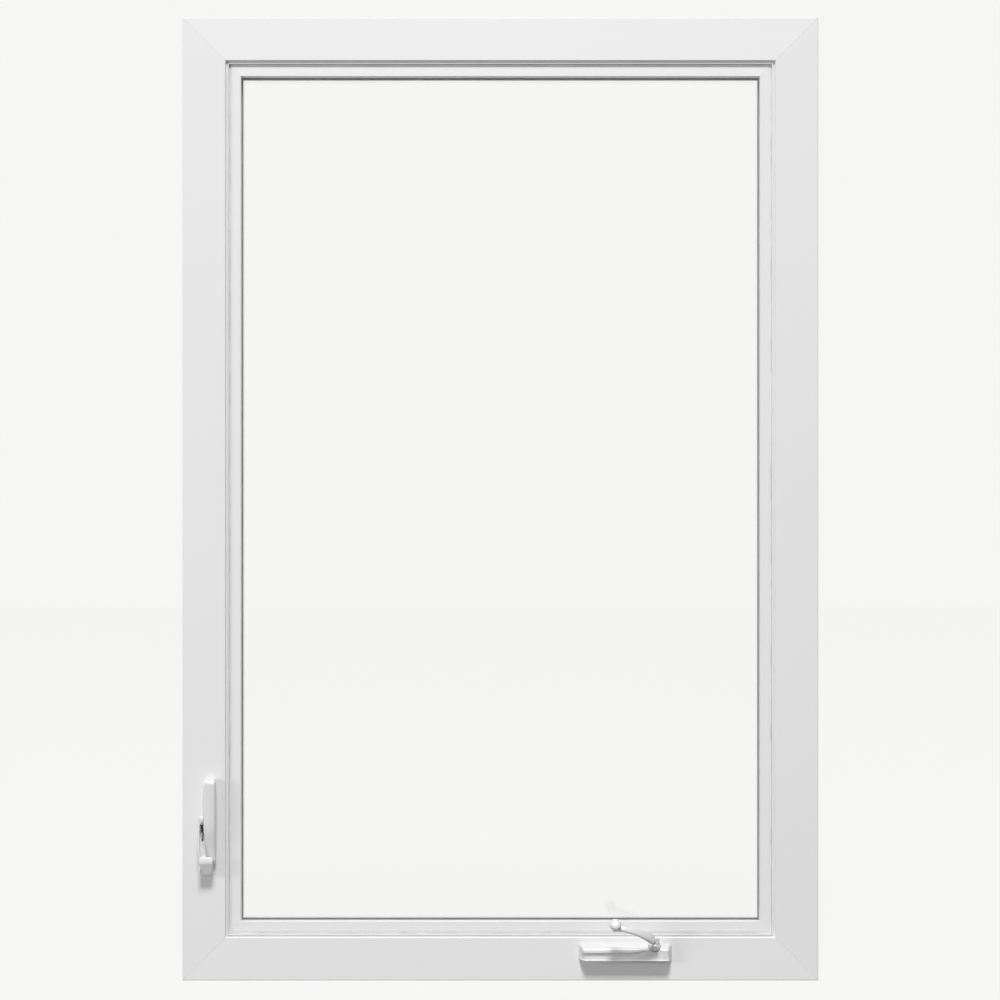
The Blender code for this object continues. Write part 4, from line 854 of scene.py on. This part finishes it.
def oval(centre, across, up, half_width, half_thick, power=2.6, sides=20):
    """A rounded-square outline in 3D, from its centre and two directions."""
    points = []
    for i in range(sides):
        turn = 2 * math.pi * i / sides
        c, s = math.cos(turn), math.sin(turn)
        u = math.copysign(abs(c) ** (2 / power), c) * half_width
        v = math.copysign(abs(s) ** (2 / power), s) * half_thick
        points.append(centre + across * u + up * v)
    return points


def crank_line(reach, low, rise, steps=26):
    """The arm's centre line of (x, z) in the crank's frame, from its fold pin to its outer end."""
    start, end = Vector((0, low)), Vector((reach, rise))
    first_pull = Vector((0.10 * reach, low + 0.62 * (rise - low)))
    last_pull = Vector((0.48 * reach, rise + 3.5 * MM))
    line = []
    for i in range(steps + 1):
        t = i / steps
        near = start * (1 - t) ** 3 + first_pull * 3 * t * (1 - t) ** 2
        line.append(near + last_pull * 3 * t * t * (1 - t) + end * t**3)
    return line


class WINDOW_OT_build_crank(bpy.types.Operator):
    """Casts the crank's hub and arm, and moulds its fluted knob."""

    bl_idname = "window.build_crank"
    bl_label = "Build crank"
    bl_options = {"REGISTER", "UNDO"}

    def execute(self, context):
        look = context.scene.window_crank
        place = crank_frame()
        home = place.inverted()
        pin = home @ Vector(joint("handle_fold")["pos_m"])
        knob_foot = home @ Vector(joint("knob_spin")["pos_m"])
        self.build_hub(place, pin.z)
        self.build_arm(place, pin.z, knob_foot, look)
        self.build_knob(place, knob_foot, look)
        return {"FINISHED"}

    def build_hub(self, place, pin_height):
        """A collar on the shaft with two round-topped ears for the fold pin."""
        side = ((0, -7), (7.4, -7), (8.1, -6.2), (8.1, 2.2), (7.5, 4.2), (6.4, 5.2), (0, 5.4))
        hub = turned(millimetres(*side))
        ears = []
        for hand in (-1, 1):
            inner = hand * 3.6 * MM
            outer = hand * 7.5 * MM
            low, high = sorted((inner, outer))
            ear = round_rod(low, high, 5.5 * MM, sides=40, edge=0.9 * MM)
            ears.append(across_at(ear, pin_height, -math.pi / 2))
            middle = (0, (inner + outer) / 2, pin_height / 2 + 0.5 * MM)
            ears.append(block(middle, (10.6 * MM, 3.7 * MM, pin_height - 1 * MM)))
        hub = cast_soft(boolean(hub, ears, "UNION"), 0.35 * MM, 3)
        pin_hole = across_at(round_rod(-9 * MM, 9 * MM, FOLD_PIN_BORE, sides=32), pin_height)
        shaft_hole = round_rod(-12 * MM, 4.3 * MM, SHAFT_BORE, sides=24)
        hub = moved(boolean(hub, [pin_hole, shaft_hole], "DIFFERENCE"), place)
        shown = ("crank_hub_casting", hub, hardware_white(), "crank", "handle")
        seated(*shown, stands_for=("crank_hub",), sharp=50)

    def build_arm(self, place, pin_height, knob_foot, look):
        """A curved arm, widest just past its ears, that ends in a round boss for the knob."""
        reach = knob_foot.x
        boss_top = knob_foot.z - 0.3 * MM
        rise = boss_top - 4 * MM
        line = crank_line(reach, pin_height, rise)
        tongue_half = 3.15 * MM
        sections = []
        last = len(line) - 1
        for i, spot in enumerate(line):
            ahead = line[min(i + 1, last)] - line[max(i - 1, 0)]
            run = ahead.normalized()
            share = i / last
            open_out = eased((i - 2.6) / 2.2)
            taper = 1 - eased((share - 0.12) / 0.75)
            swell = look.arm_half_width + 2.4 * MM * taper - tongue_half
            half_width = tongue_half + open_out * swell
            half_thick = look.arm_half_thick * (1 + 0.12 * taper - 0.16 * share)
            centre = Vector((spot.x, 0, spot.y))
            up = Vector((-run.y, 0, run.x))
            sections.append(oval(centre, Vector((0, 1, 0)), up, half_width, half_thick))
        arm = skinned(sections)
        tongue = across_at(round_rod(-3.2 * MM, 3.2 * MM, 5.1 * MM, sides=40), pin_height)
        side = ((0, -4.4), (3.6, -4.1), (5, -3), (5.5, -1.2), (5.4, 2.6), (4.9, 4), (0, 4))
        boss = turned(millimetres(*side))
        outer_end = Matrix.Translation((reach, 0, rise))
        moved(boss, outer_end)
        arm = cast_soft(boolean(arm, [tongue, boss], "UNION"), 0.4 * MM, 5)
        pin_hole = across_at(round_rod(-9 * MM, 9 * MM, FOLD_PIN_BORE, sides=32), pin_height)
        knob_hole = moved(round_rod(-3 * MM, 6 * MM, KNOB_PIN_BORE, sides=32), outer_end)
        arm = moved(boolean(arm, [pin_hole, knob_hole], "DIFFERENCE"), place)
        shown = ("crank_arm_casting", arm, hardware_white(), "handle", "handle")
        seated(*shown, stands_for=("crank_arm",), sharp=50)

    def build_knob(self, place, foot, look):
        """A rounded knob with shallow flutes round its waist."""
        length = 11.5 * MM
        radius = 8.5 * MM
        curve = ((0.70, 0.0), (0.76, 0.04), (0.80, 0.13), (0.88, 0.26), (0.96, 0.38), (1.0, 0.51))
        curve += ((0.995, 0.63), (0.96, 0.74), (0.88, 0.85), (0.74, 0.93), (0.52, 0.976))
        curve += ((0.26, 0.995), (0.0, 1.0))
        crown = length - 2.4 * MM
        profile = [(KNOB_PIN_BORE, 0.0)] + [(out * radius, up * length) for out, up in curve]
        inside = [(0.0, crown), (KNOB_PIN_BORE, crown), (KNOB_PIN_BORE, 0.0)]
        knob = turned(profile + inside, sides=look.knob_ridges * 6)
        for vert in knob.verts:
            out = math.hypot(vert.co.x, vert.co.y)
            if out < 0.6 * radius:
                continue
            above = eased((vert.co.z - 1.0 * MM) / (2 * MM))
            band = above * eased((10.2 * MM - vert.co.z) / (2 * MM))
            turn = math.atan2(vert.co.y, vert.co.x)
            dip = look.knob_ridge_depth * band * (0.5 - 0.5 * math.cos(turn * look.knob_ridges))
            vert.co.x *= (out - dip) / out
            vert.co.y *= (out - dip) / out
        bmesh.ops.translate(knob, verts=knob.verts, vec=foot)
        plastic = finish_of("knob_plastic", moulded_plastic, "knob", 0.34, 1500.0)
        shown = ("fluted_knob", moved(knob, place), plastic, "knob", "knob")
        seated(*shown, stands_for=("crank_knob",), sharp=50)


# ---- lever lock


def base_outline(z, wall, look):
    """The lock base's level outline of (x, proud) at a height, moved in by the wall."""
    low = LOCK_LOW.z
    high = LOCK_HIGH.z
    pivot = joint("lock_lever_swing")["pos_m"][2]
    full = ROOM_FACE - LOCK_LOW.y
    below = min(1.0, max(0.0, (pivot - 6 * MM - z) / (pivot - 6 * MM - low)))
    left = LOCK_LOW.x + 6.5 * MM * below**1.5 + wall
    right = LOCK_HIGH.x - 0.3 * MM * below - wall
    front = full * (1 - 0.40 * eased(below)) - wall
    near_top = eased((high - z) / (5 * MM))
    near_low = eased((z - low) / (4 * MM))
    left += 1.6 * MM * (1 - math.sqrt(near_top))
    right -= 1.6 * MM * (1 - math.sqrt(near_top)) + 1.0 * MM * (1 - near_low)
    front *= 0.72 + 0.28 * math.sqrt(max(0.0, min(near_top, near_low)))
    foot = 0.3 * MM if not wall else -2 * MM
    dome = 0.7 * MM
    edge = max(0.4 * MM, look.edge - wall)
    side = [(left, foot), (left, front - edge - dome)]
    steps = 5
    for i in range(1, steps + 1):
        turn = math.pi / 2 * i / steps
        x = left + edge * (1 - math.cos(turn))
        side.append((x, front - dome - edge * (1 - math.sin(turn))))
    for share in (0.25, 0.5, 0.75):
        x = left + edge + (right - left - 1.7 * edge) * share
        side.append((x, front - dome * (2 * share - 1) ** 2))
    small = 0.7 * edge
    for i in range(steps + 1):
        turn = math.pi / 2 * i / steps
        x = right - small * (1 - math.sin(turn))
        side.append((x, front - dome - small * (1 - math.cos(turn))))
    side.append((right, foot))
    return side


def base_skin(wall, look):
    """The lock base's solid from its foot to its top, moved in by the wall."""
    low = LOCK_LOW.z + 1.6 * wall
    high = LOCK_HIGH.z - 1.6 * wall
    ends = (0.0, 0.3, 0.8, 1.4, 2.1, 2.9, 3.8, 5.0)
    heights = [low + step * MM for step in ends]
    count = 30
    start, stop = heights[-1], high - 5 * MM
    heights += [start + (stop - start) * i / count for i in range(1, count + 1)]
    heights += [high - step * MM for step in reversed(ends[:-1])]
    return skinned([[at(x, p, z) for x, p in base_outline(z, wall, look)] for z in heights])


def lever_bow(z, pivot_z, grip_z):
    """How far the lever's shank bows out to the left between its pivot and its grip."""
    share = min(1.0, max(0.0, (pivot_z - z) / (pivot_z - grip_z)))
    return 4.4 * MM * eased(share / 0.14) * (1 - 0.35 * eased((share - 0.7) / 0.3))


class WINDOW_OT_build_lock(bpy.types.Operator):
    """Moulds the lock's domed base, and its lever with a bowed shank and a turned-in grip."""

    bl_idname = "window.build_lock"
    bl_label = "Build lock"
    bl_options = {"REGISTER", "UNDO"}

    def execute(self, context):
        look = context.scene.window_lock
        pivot = Vector(joint("lock_lever_swing")["pos_m"])
        across = turn_to((1, 0, 0))
        base = base_skin(0.0, look)
        hollow = base_skin(LOCK_WALL, look)
        bore = round_rod(-6 * MM, 6 * MM, 3.3 * MM, sides=40)
        bore = moved(bore, Matrix.Translation(pivot) @ across)
        base = boolean(base, [hollow, bore], "DIFFERENCE")
        hidden = ("lock_base", "lock_screw_upper", "lock_screw_lower")
        seated("lock_escutcheon", base, hardware_white(), "frame", "cover", hidden, sharp=40)
        self.build_lever(pivot, across, look)
        return {"FINISHED"}

    def build_lever(self, pivot, across, look):
        """An eye on the pivot, a bowed shank with its web, and a grip turned in over the base."""
        pivot_proud = ROOM_FACE - pivot.y
        outside = LOCK_LOW.x - 0.3 * MM
        plate = 3.0 * MM
        eye = round_rod(0, 4.0 * MM, 7.0 * MM, sides=48, edge=look.lever_edge)
        eye = moved(eye, Matrix.Translation((outside - 4.0 * MM, pivot.y, pivot.z)) @ across)
        grip_top = LEVER_LOW.z + 29 * MM
        grip_low = LEVER_LOW.z + 0.3 * MM
        ridge = []
        web = []
        right, outwards = Vector((1, 0, 0)), Vector((0, -1, 0))
        count = 30
        for i in range(count + 1):
            share = i / count
            z = pivot.z + 2 * MM + (grip_low + 6 * MM - pivot.z - 2 * MM) * share
            x = outside - 0.4 * MM - plate / 2 - lever_bow(z, pivot.z, grip_top)
            near = pivot_proud - 4.5 * MM + 7.0 * MM * eased(share / 0.7)
            far = pivot_proud + 5.0 * MM + 6.5 * MM * eased(share / 0.75)
            spot = at(x, (near + far) / 2, z)
            ridge.append(oval(spot, right, outwards, plate / 2, (far - near) / 2, power=3.5))
            down = (share - 0.14) / 0.60
            if 0 < down < 1.25:
                edge = x + plate / 2 + (0.2 + 8.2 * eased(0.9 * down) ** 1.3) * MM
                spot = at((x + edge) / 2, (near + far) / 2 - 1.2 * MM, z)
                half_sizes = ((edge - x) / 2, (far - near) / 2 - 1.6 * MM)
                web.append(oval(spot, right, outwards, *half_sizes, power=4))
        shank = skinned(ridge)
        middle = (outside - 3.6 * MM, pivot.y, pivot.z + 0.5 * MM)
        link = block(middle, (7.0 * MM, 9 * MM, 6 * MM))
        grip = [(11.5, 9.0), (10.4, 25.5), (11.5, 28.8), (14.6, 28.8), (17.2, 26.0), (24.6, 8.5)]
        grip += [(22.5, 0.0), (16.0, 2.0)]
        outline = rounded_outline(grip, 2.4)
        grip_left = outside - plate - 2.6 * MM
        grip_right = LOCK_HIGH.x - 2.4 * MM
        slices = []
        for share in (0.0, 0.03, 0.1, 0.3, 0.5, 0.7, 0.9, 0.97, 1.0):
            x = grip_left + (grip_right - grip_left) * share
            end = 1 - 0.10 * (abs(2 * share - 1) ** 6)
            spots = []
            for proud, drop in outline:
                z = grip_top - (14.4 + (drop - 14.4) * end) * MM
                lean = 1.9 * MM * (drop / 29) ** 1.5 * (1 - 2 * share)
                spots.append(at(x + lean, (17.0 + (proud - 17.0) * end) * MM, z))
            slices.append(spots)
        lever = boolean(eye, [shank, skinned(web), link, skinned(slices)], "UNION")
        lever = cast_soft(lever, 0.4 * MM, 4)
        bore = round_rod(-3.2 * MM, 6 * MM, 3.25 * MM, sides=40)
        bore = moved(bore, Matrix.Translation((outside, pivot.y, pivot.z)) @ across)
        lever = boolean(lever, [bore], "DIFFERENCE")
        shown = ("lock_lever_casting", lever, hardware_white(), "lever", "handle")
        seated(*shown, stands_for=("lock_lever",), sharp=50)


# ---- mechanism

STEEL_NODES = ("arm_pivot_rivet", "drive_arm", "arm_stud", "worm_shaft", "hub_set_screw")
STEEL_NODES += ("fold_pin", "knob_pin", "lever_pivot_cam", "sash_track", "lower_keeper")
STEEL_NODES += ("upper_keeper", "lower_lock_roller", "upper_lock_roller", "operator_screw_left")
STEEL_NODES += ("operator_screw_right", "lock_screw_upper", "lock_screw_lower")
NYLON_NODES = ("guide_shoe", "worm_bush", "lower_hinge_bush", "upper_hinge_bush")
NYLON_NODES += ("lower_tie_bar_guide", "upper_tie_bar_guide")


class WINDOW_OT_paint_mechanism(bpy.types.Operator):
    """Gives the hinges, the operator's works and the lock bar their metals and nylon."""

    bl_idname = "window.paint_mechanism"
    bl_label = "Paint mechanism"
    bl_options = {"REGISTER", "UNDO"}

    def execute(self, context):
        steel = finish_of("zinc_plate", plated_steel, "steel")
        paint(STEEL_NODES, steel)
        hinge_words = ("frame_plate", "pin", "sash_plate", "screw_outer", "screw_inner")
        paint([f"{end}_hinge_{word}" for end in ("lower", "upper") for word in hinge_words], steel)
        upright = finish_of("zinc_plate_upright", plated_steel, "steel", (1, 1, 0.02))
        paint(("tie_bar",), upright)
        paint(("operator_base",), finish_of("die_cast_grey", cast_zinc, "casting"))
        paint(NYLON_NODES, finish_of("natural_nylon", natural_nylon, "nylon"))
        return {"FINISHED"}


# ---- stage


def soft_light(name, place, target, power, width, height=None):
    """An area light that faces a point."""
    data = bpy.data.lights.new(name, "AREA")
    data.energy = power
    data.shape = "RECTANGLE"
    data.size = width
    data.size_y = height if height else width
    light = bpy.data.objects.new(name, data)
    light.location = place
    light.rotation_euler = (Vector(target) - Vector(place)).to_track_quat("-Z", "Y").to_euler()
    bpy.context.scene.collection.objects.link(light)
    return light


def seen_or_lit(tree, seen, lit, output):
    """What the eye and mirrors see is one shader, and what lights the object is another."""
    path = tree.nodes.new("ShaderNodeLightPath")
    either = tree.nodes.new("ShaderNodeMath")
    either.operation = "MAXIMUM"
    mix = tree.nodes.new("ShaderNodeMixShader")
    for socket, ray in enumerate(("Camera", "Glossy")):
        tree.links.new(path.outputs[f"Is {ray} Ray"], either.inputs[socket])
    tree.links.new(either.outputs["Value"], mix.inputs["Fac"])
    tree.links.new(lit.outputs[0], mix.inputs[1])
    tree.links.new(seen.outputs[0], mix.inputs[2])
    tree.links.new(mix.outputs["Shader"], output.inputs["Surface"])


def surround(stage):
    """Even light all round, and the plain tone seen behind the window and through its glass."""
    world = bpy.data.worlds.new("surround")
    world.use_nodes = True
    tree = world.node_tree
    tree.nodes.clear()
    output = tree.nodes.new("ShaderNodeOutputWorld")
    ambient = tree.nodes.new("ShaderNodeBackground")
    preset(ambient, {"Color": (0.985, 1.0, 0.99, 1), "Strength": stage.ambient})
    seen = tree.nodes.new("ShaderNodeBackground")
    seen.inputs["Color"].default_value = (*stage.background, 1)
    seen_or_lit(tree, seen, ambient, output)
    bpy.context.scene.world = world


def floor_finish(stage):
    """Pale matt floor that glows to the eye, so that it meets the background without a line."""
    made, tree, shader = new_material("pale_floor")
    output = next(node for node in tree.nodes if node.type == "OUTPUT_MATERIAL")
    preset(shader, {"Base Color": (0.03, 0.03, 0.03, 1), "Roughness": 1.0})
    preset(shader, {"Specular IOR Level": 0.0, "Emission Strength": 0.975})
    preset(shader, {"Emission Color": (*stage.background, 1)})
    bounced = tree.nodes.new("ShaderNodeEmission")
    bounced.inputs["Strength"].default_value = stage.ambient * stage.floor_share
    seen_or_lit(tree, shader, bounced, output)
    return made


class WINDOW_OT_set_stage(bpy.types.Operator):
    """Lays the floor, hangs the lights and sets the camera square to the window."""

    bl_idname = "window.set_stage"
    bl_label = "Set stage"
    bl_options = {"REGISTER", "UNDO"}

    def execute(self, context):
        stage = context.scene.window_stage
        shape = bmesh.new()
        bmesh.ops.create_grid(shape, x_segments=1, y_segments=1, size=14)
        bmesh.ops.translate(shape, verts=shape.verts, vec=(0, 0, CAD_BOX[0].z - 0.0004))
        mesh = bpy.data.meshes.new("floor")
        shape.to_mesh(mesh)
        shape.free()
        mesh.materials.append(floor_finish(stage))
        floor = bpy.data.objects.new("floor", mesh)
        context.scene.collection.objects.link(floor)

        rise = stage.key_rise
        target = Vector((0, ROOM_FACE, CAD_BOX[0].z + 0.15))
        reach = stage.key_reach
        key_place = target + Vector((0, -reach * math.cos(rise), reach * math.sin(rise)))
        soft_light("key", key_place, target, stage.key_power, stage.key_width)
        side_place = Vector((-5.6, -4.2, 0.6))
        soft_light("side", side_place, (0, 0, 0.6), stage.side_power, 2.6)
        card_place = Vector((1.5, -6.0, 2.75))
        card = soft_light("sheen", card_place, (0.3, 0, 1.33), stage.sheen_power, 1.1, 0.55)
        card.visible_diffuse = False
        surround(stage)

        camera_data = bpy.data.cameras.new("camera")
        camera_data.sensor_width = 36
        camera_data.lens = 36 * stage.camera_distance / stage.view_height
        camera_data.clip_end = 100
        camera = bpy.data.objects.new("camera", camera_data)
        hair = stage.view_height / 1000
        depth = ROOM_FACE - stage.camera_distance
        camera.location = (-0.4 * hair, depth, WINDOW_MIDDLE - 1.0 * hair)
        camera.rotation_euler = (math.pi / 2, 0, 0)
        context.scene.collection.objects.link(camera)
        context.scene.camera = camera
        context.scene.view_settings.view_transform = "Standard"
        return {"FINISHED"}


# ---- panel and registration

OPERATORS = (
    WINDOW_OT_paint_members,
    WINDOW_OT_weld_corners,
    WINDOW_OT_paint_glazing,
    WINDOW_OT_build_reveal_seal,
    WINDOW_OT_build_cover,
    WINDOW_OT_build_crank,
    WINDOW_OT_build_lock,
    WINDOW_OT_paint_mechanism,
    WINDOW_OT_set_stage,
)


class WINDOW_PT_finishes(bpy.types.Panel):
    """Lists the window's operators and their settings."""

    bl_label = "Casement window"
    bl_idname = "WINDOW_PT_finishes"
    bl_space_type = "VIEW_3D"
    bl_region_type = "UI"
    bl_category = "Window"

    def draw(self, context):
        layout = self.layout
        for operator in OPERATORS:
            layout.operator(operator.bl_idname)
        for name, group in SETTINGS.items():
            box = layout.box()
            box.label(text=group.__name__)
            for key in group.__annotations__:
                box.prop(getattr(context.scene, name), key)


CLASSES = (*SETTINGS.values(), *OPERATORS, WINDOW_PT_finishes)


def register():
    for item in CLASSES:
        bpy.utils.register_class(item)
    for name, group in SETTINGS.items():
        setattr(bpy.types.Scene, name, bpy.props.PointerProperty(type=group))


def unregister():
    for name in SETTINGS:
        delattr(bpy.types.Scene, name)
    for item in reversed(CLASSES):
        bpy.utils.unregister_class(item)


def main():
    register()
    for operator in OPERATORS:
        group, name = operator.bl_idname.split(".")
        getattr(getattr(bpy.ops, group), name)()


if __name__ == "__main__":
    main()
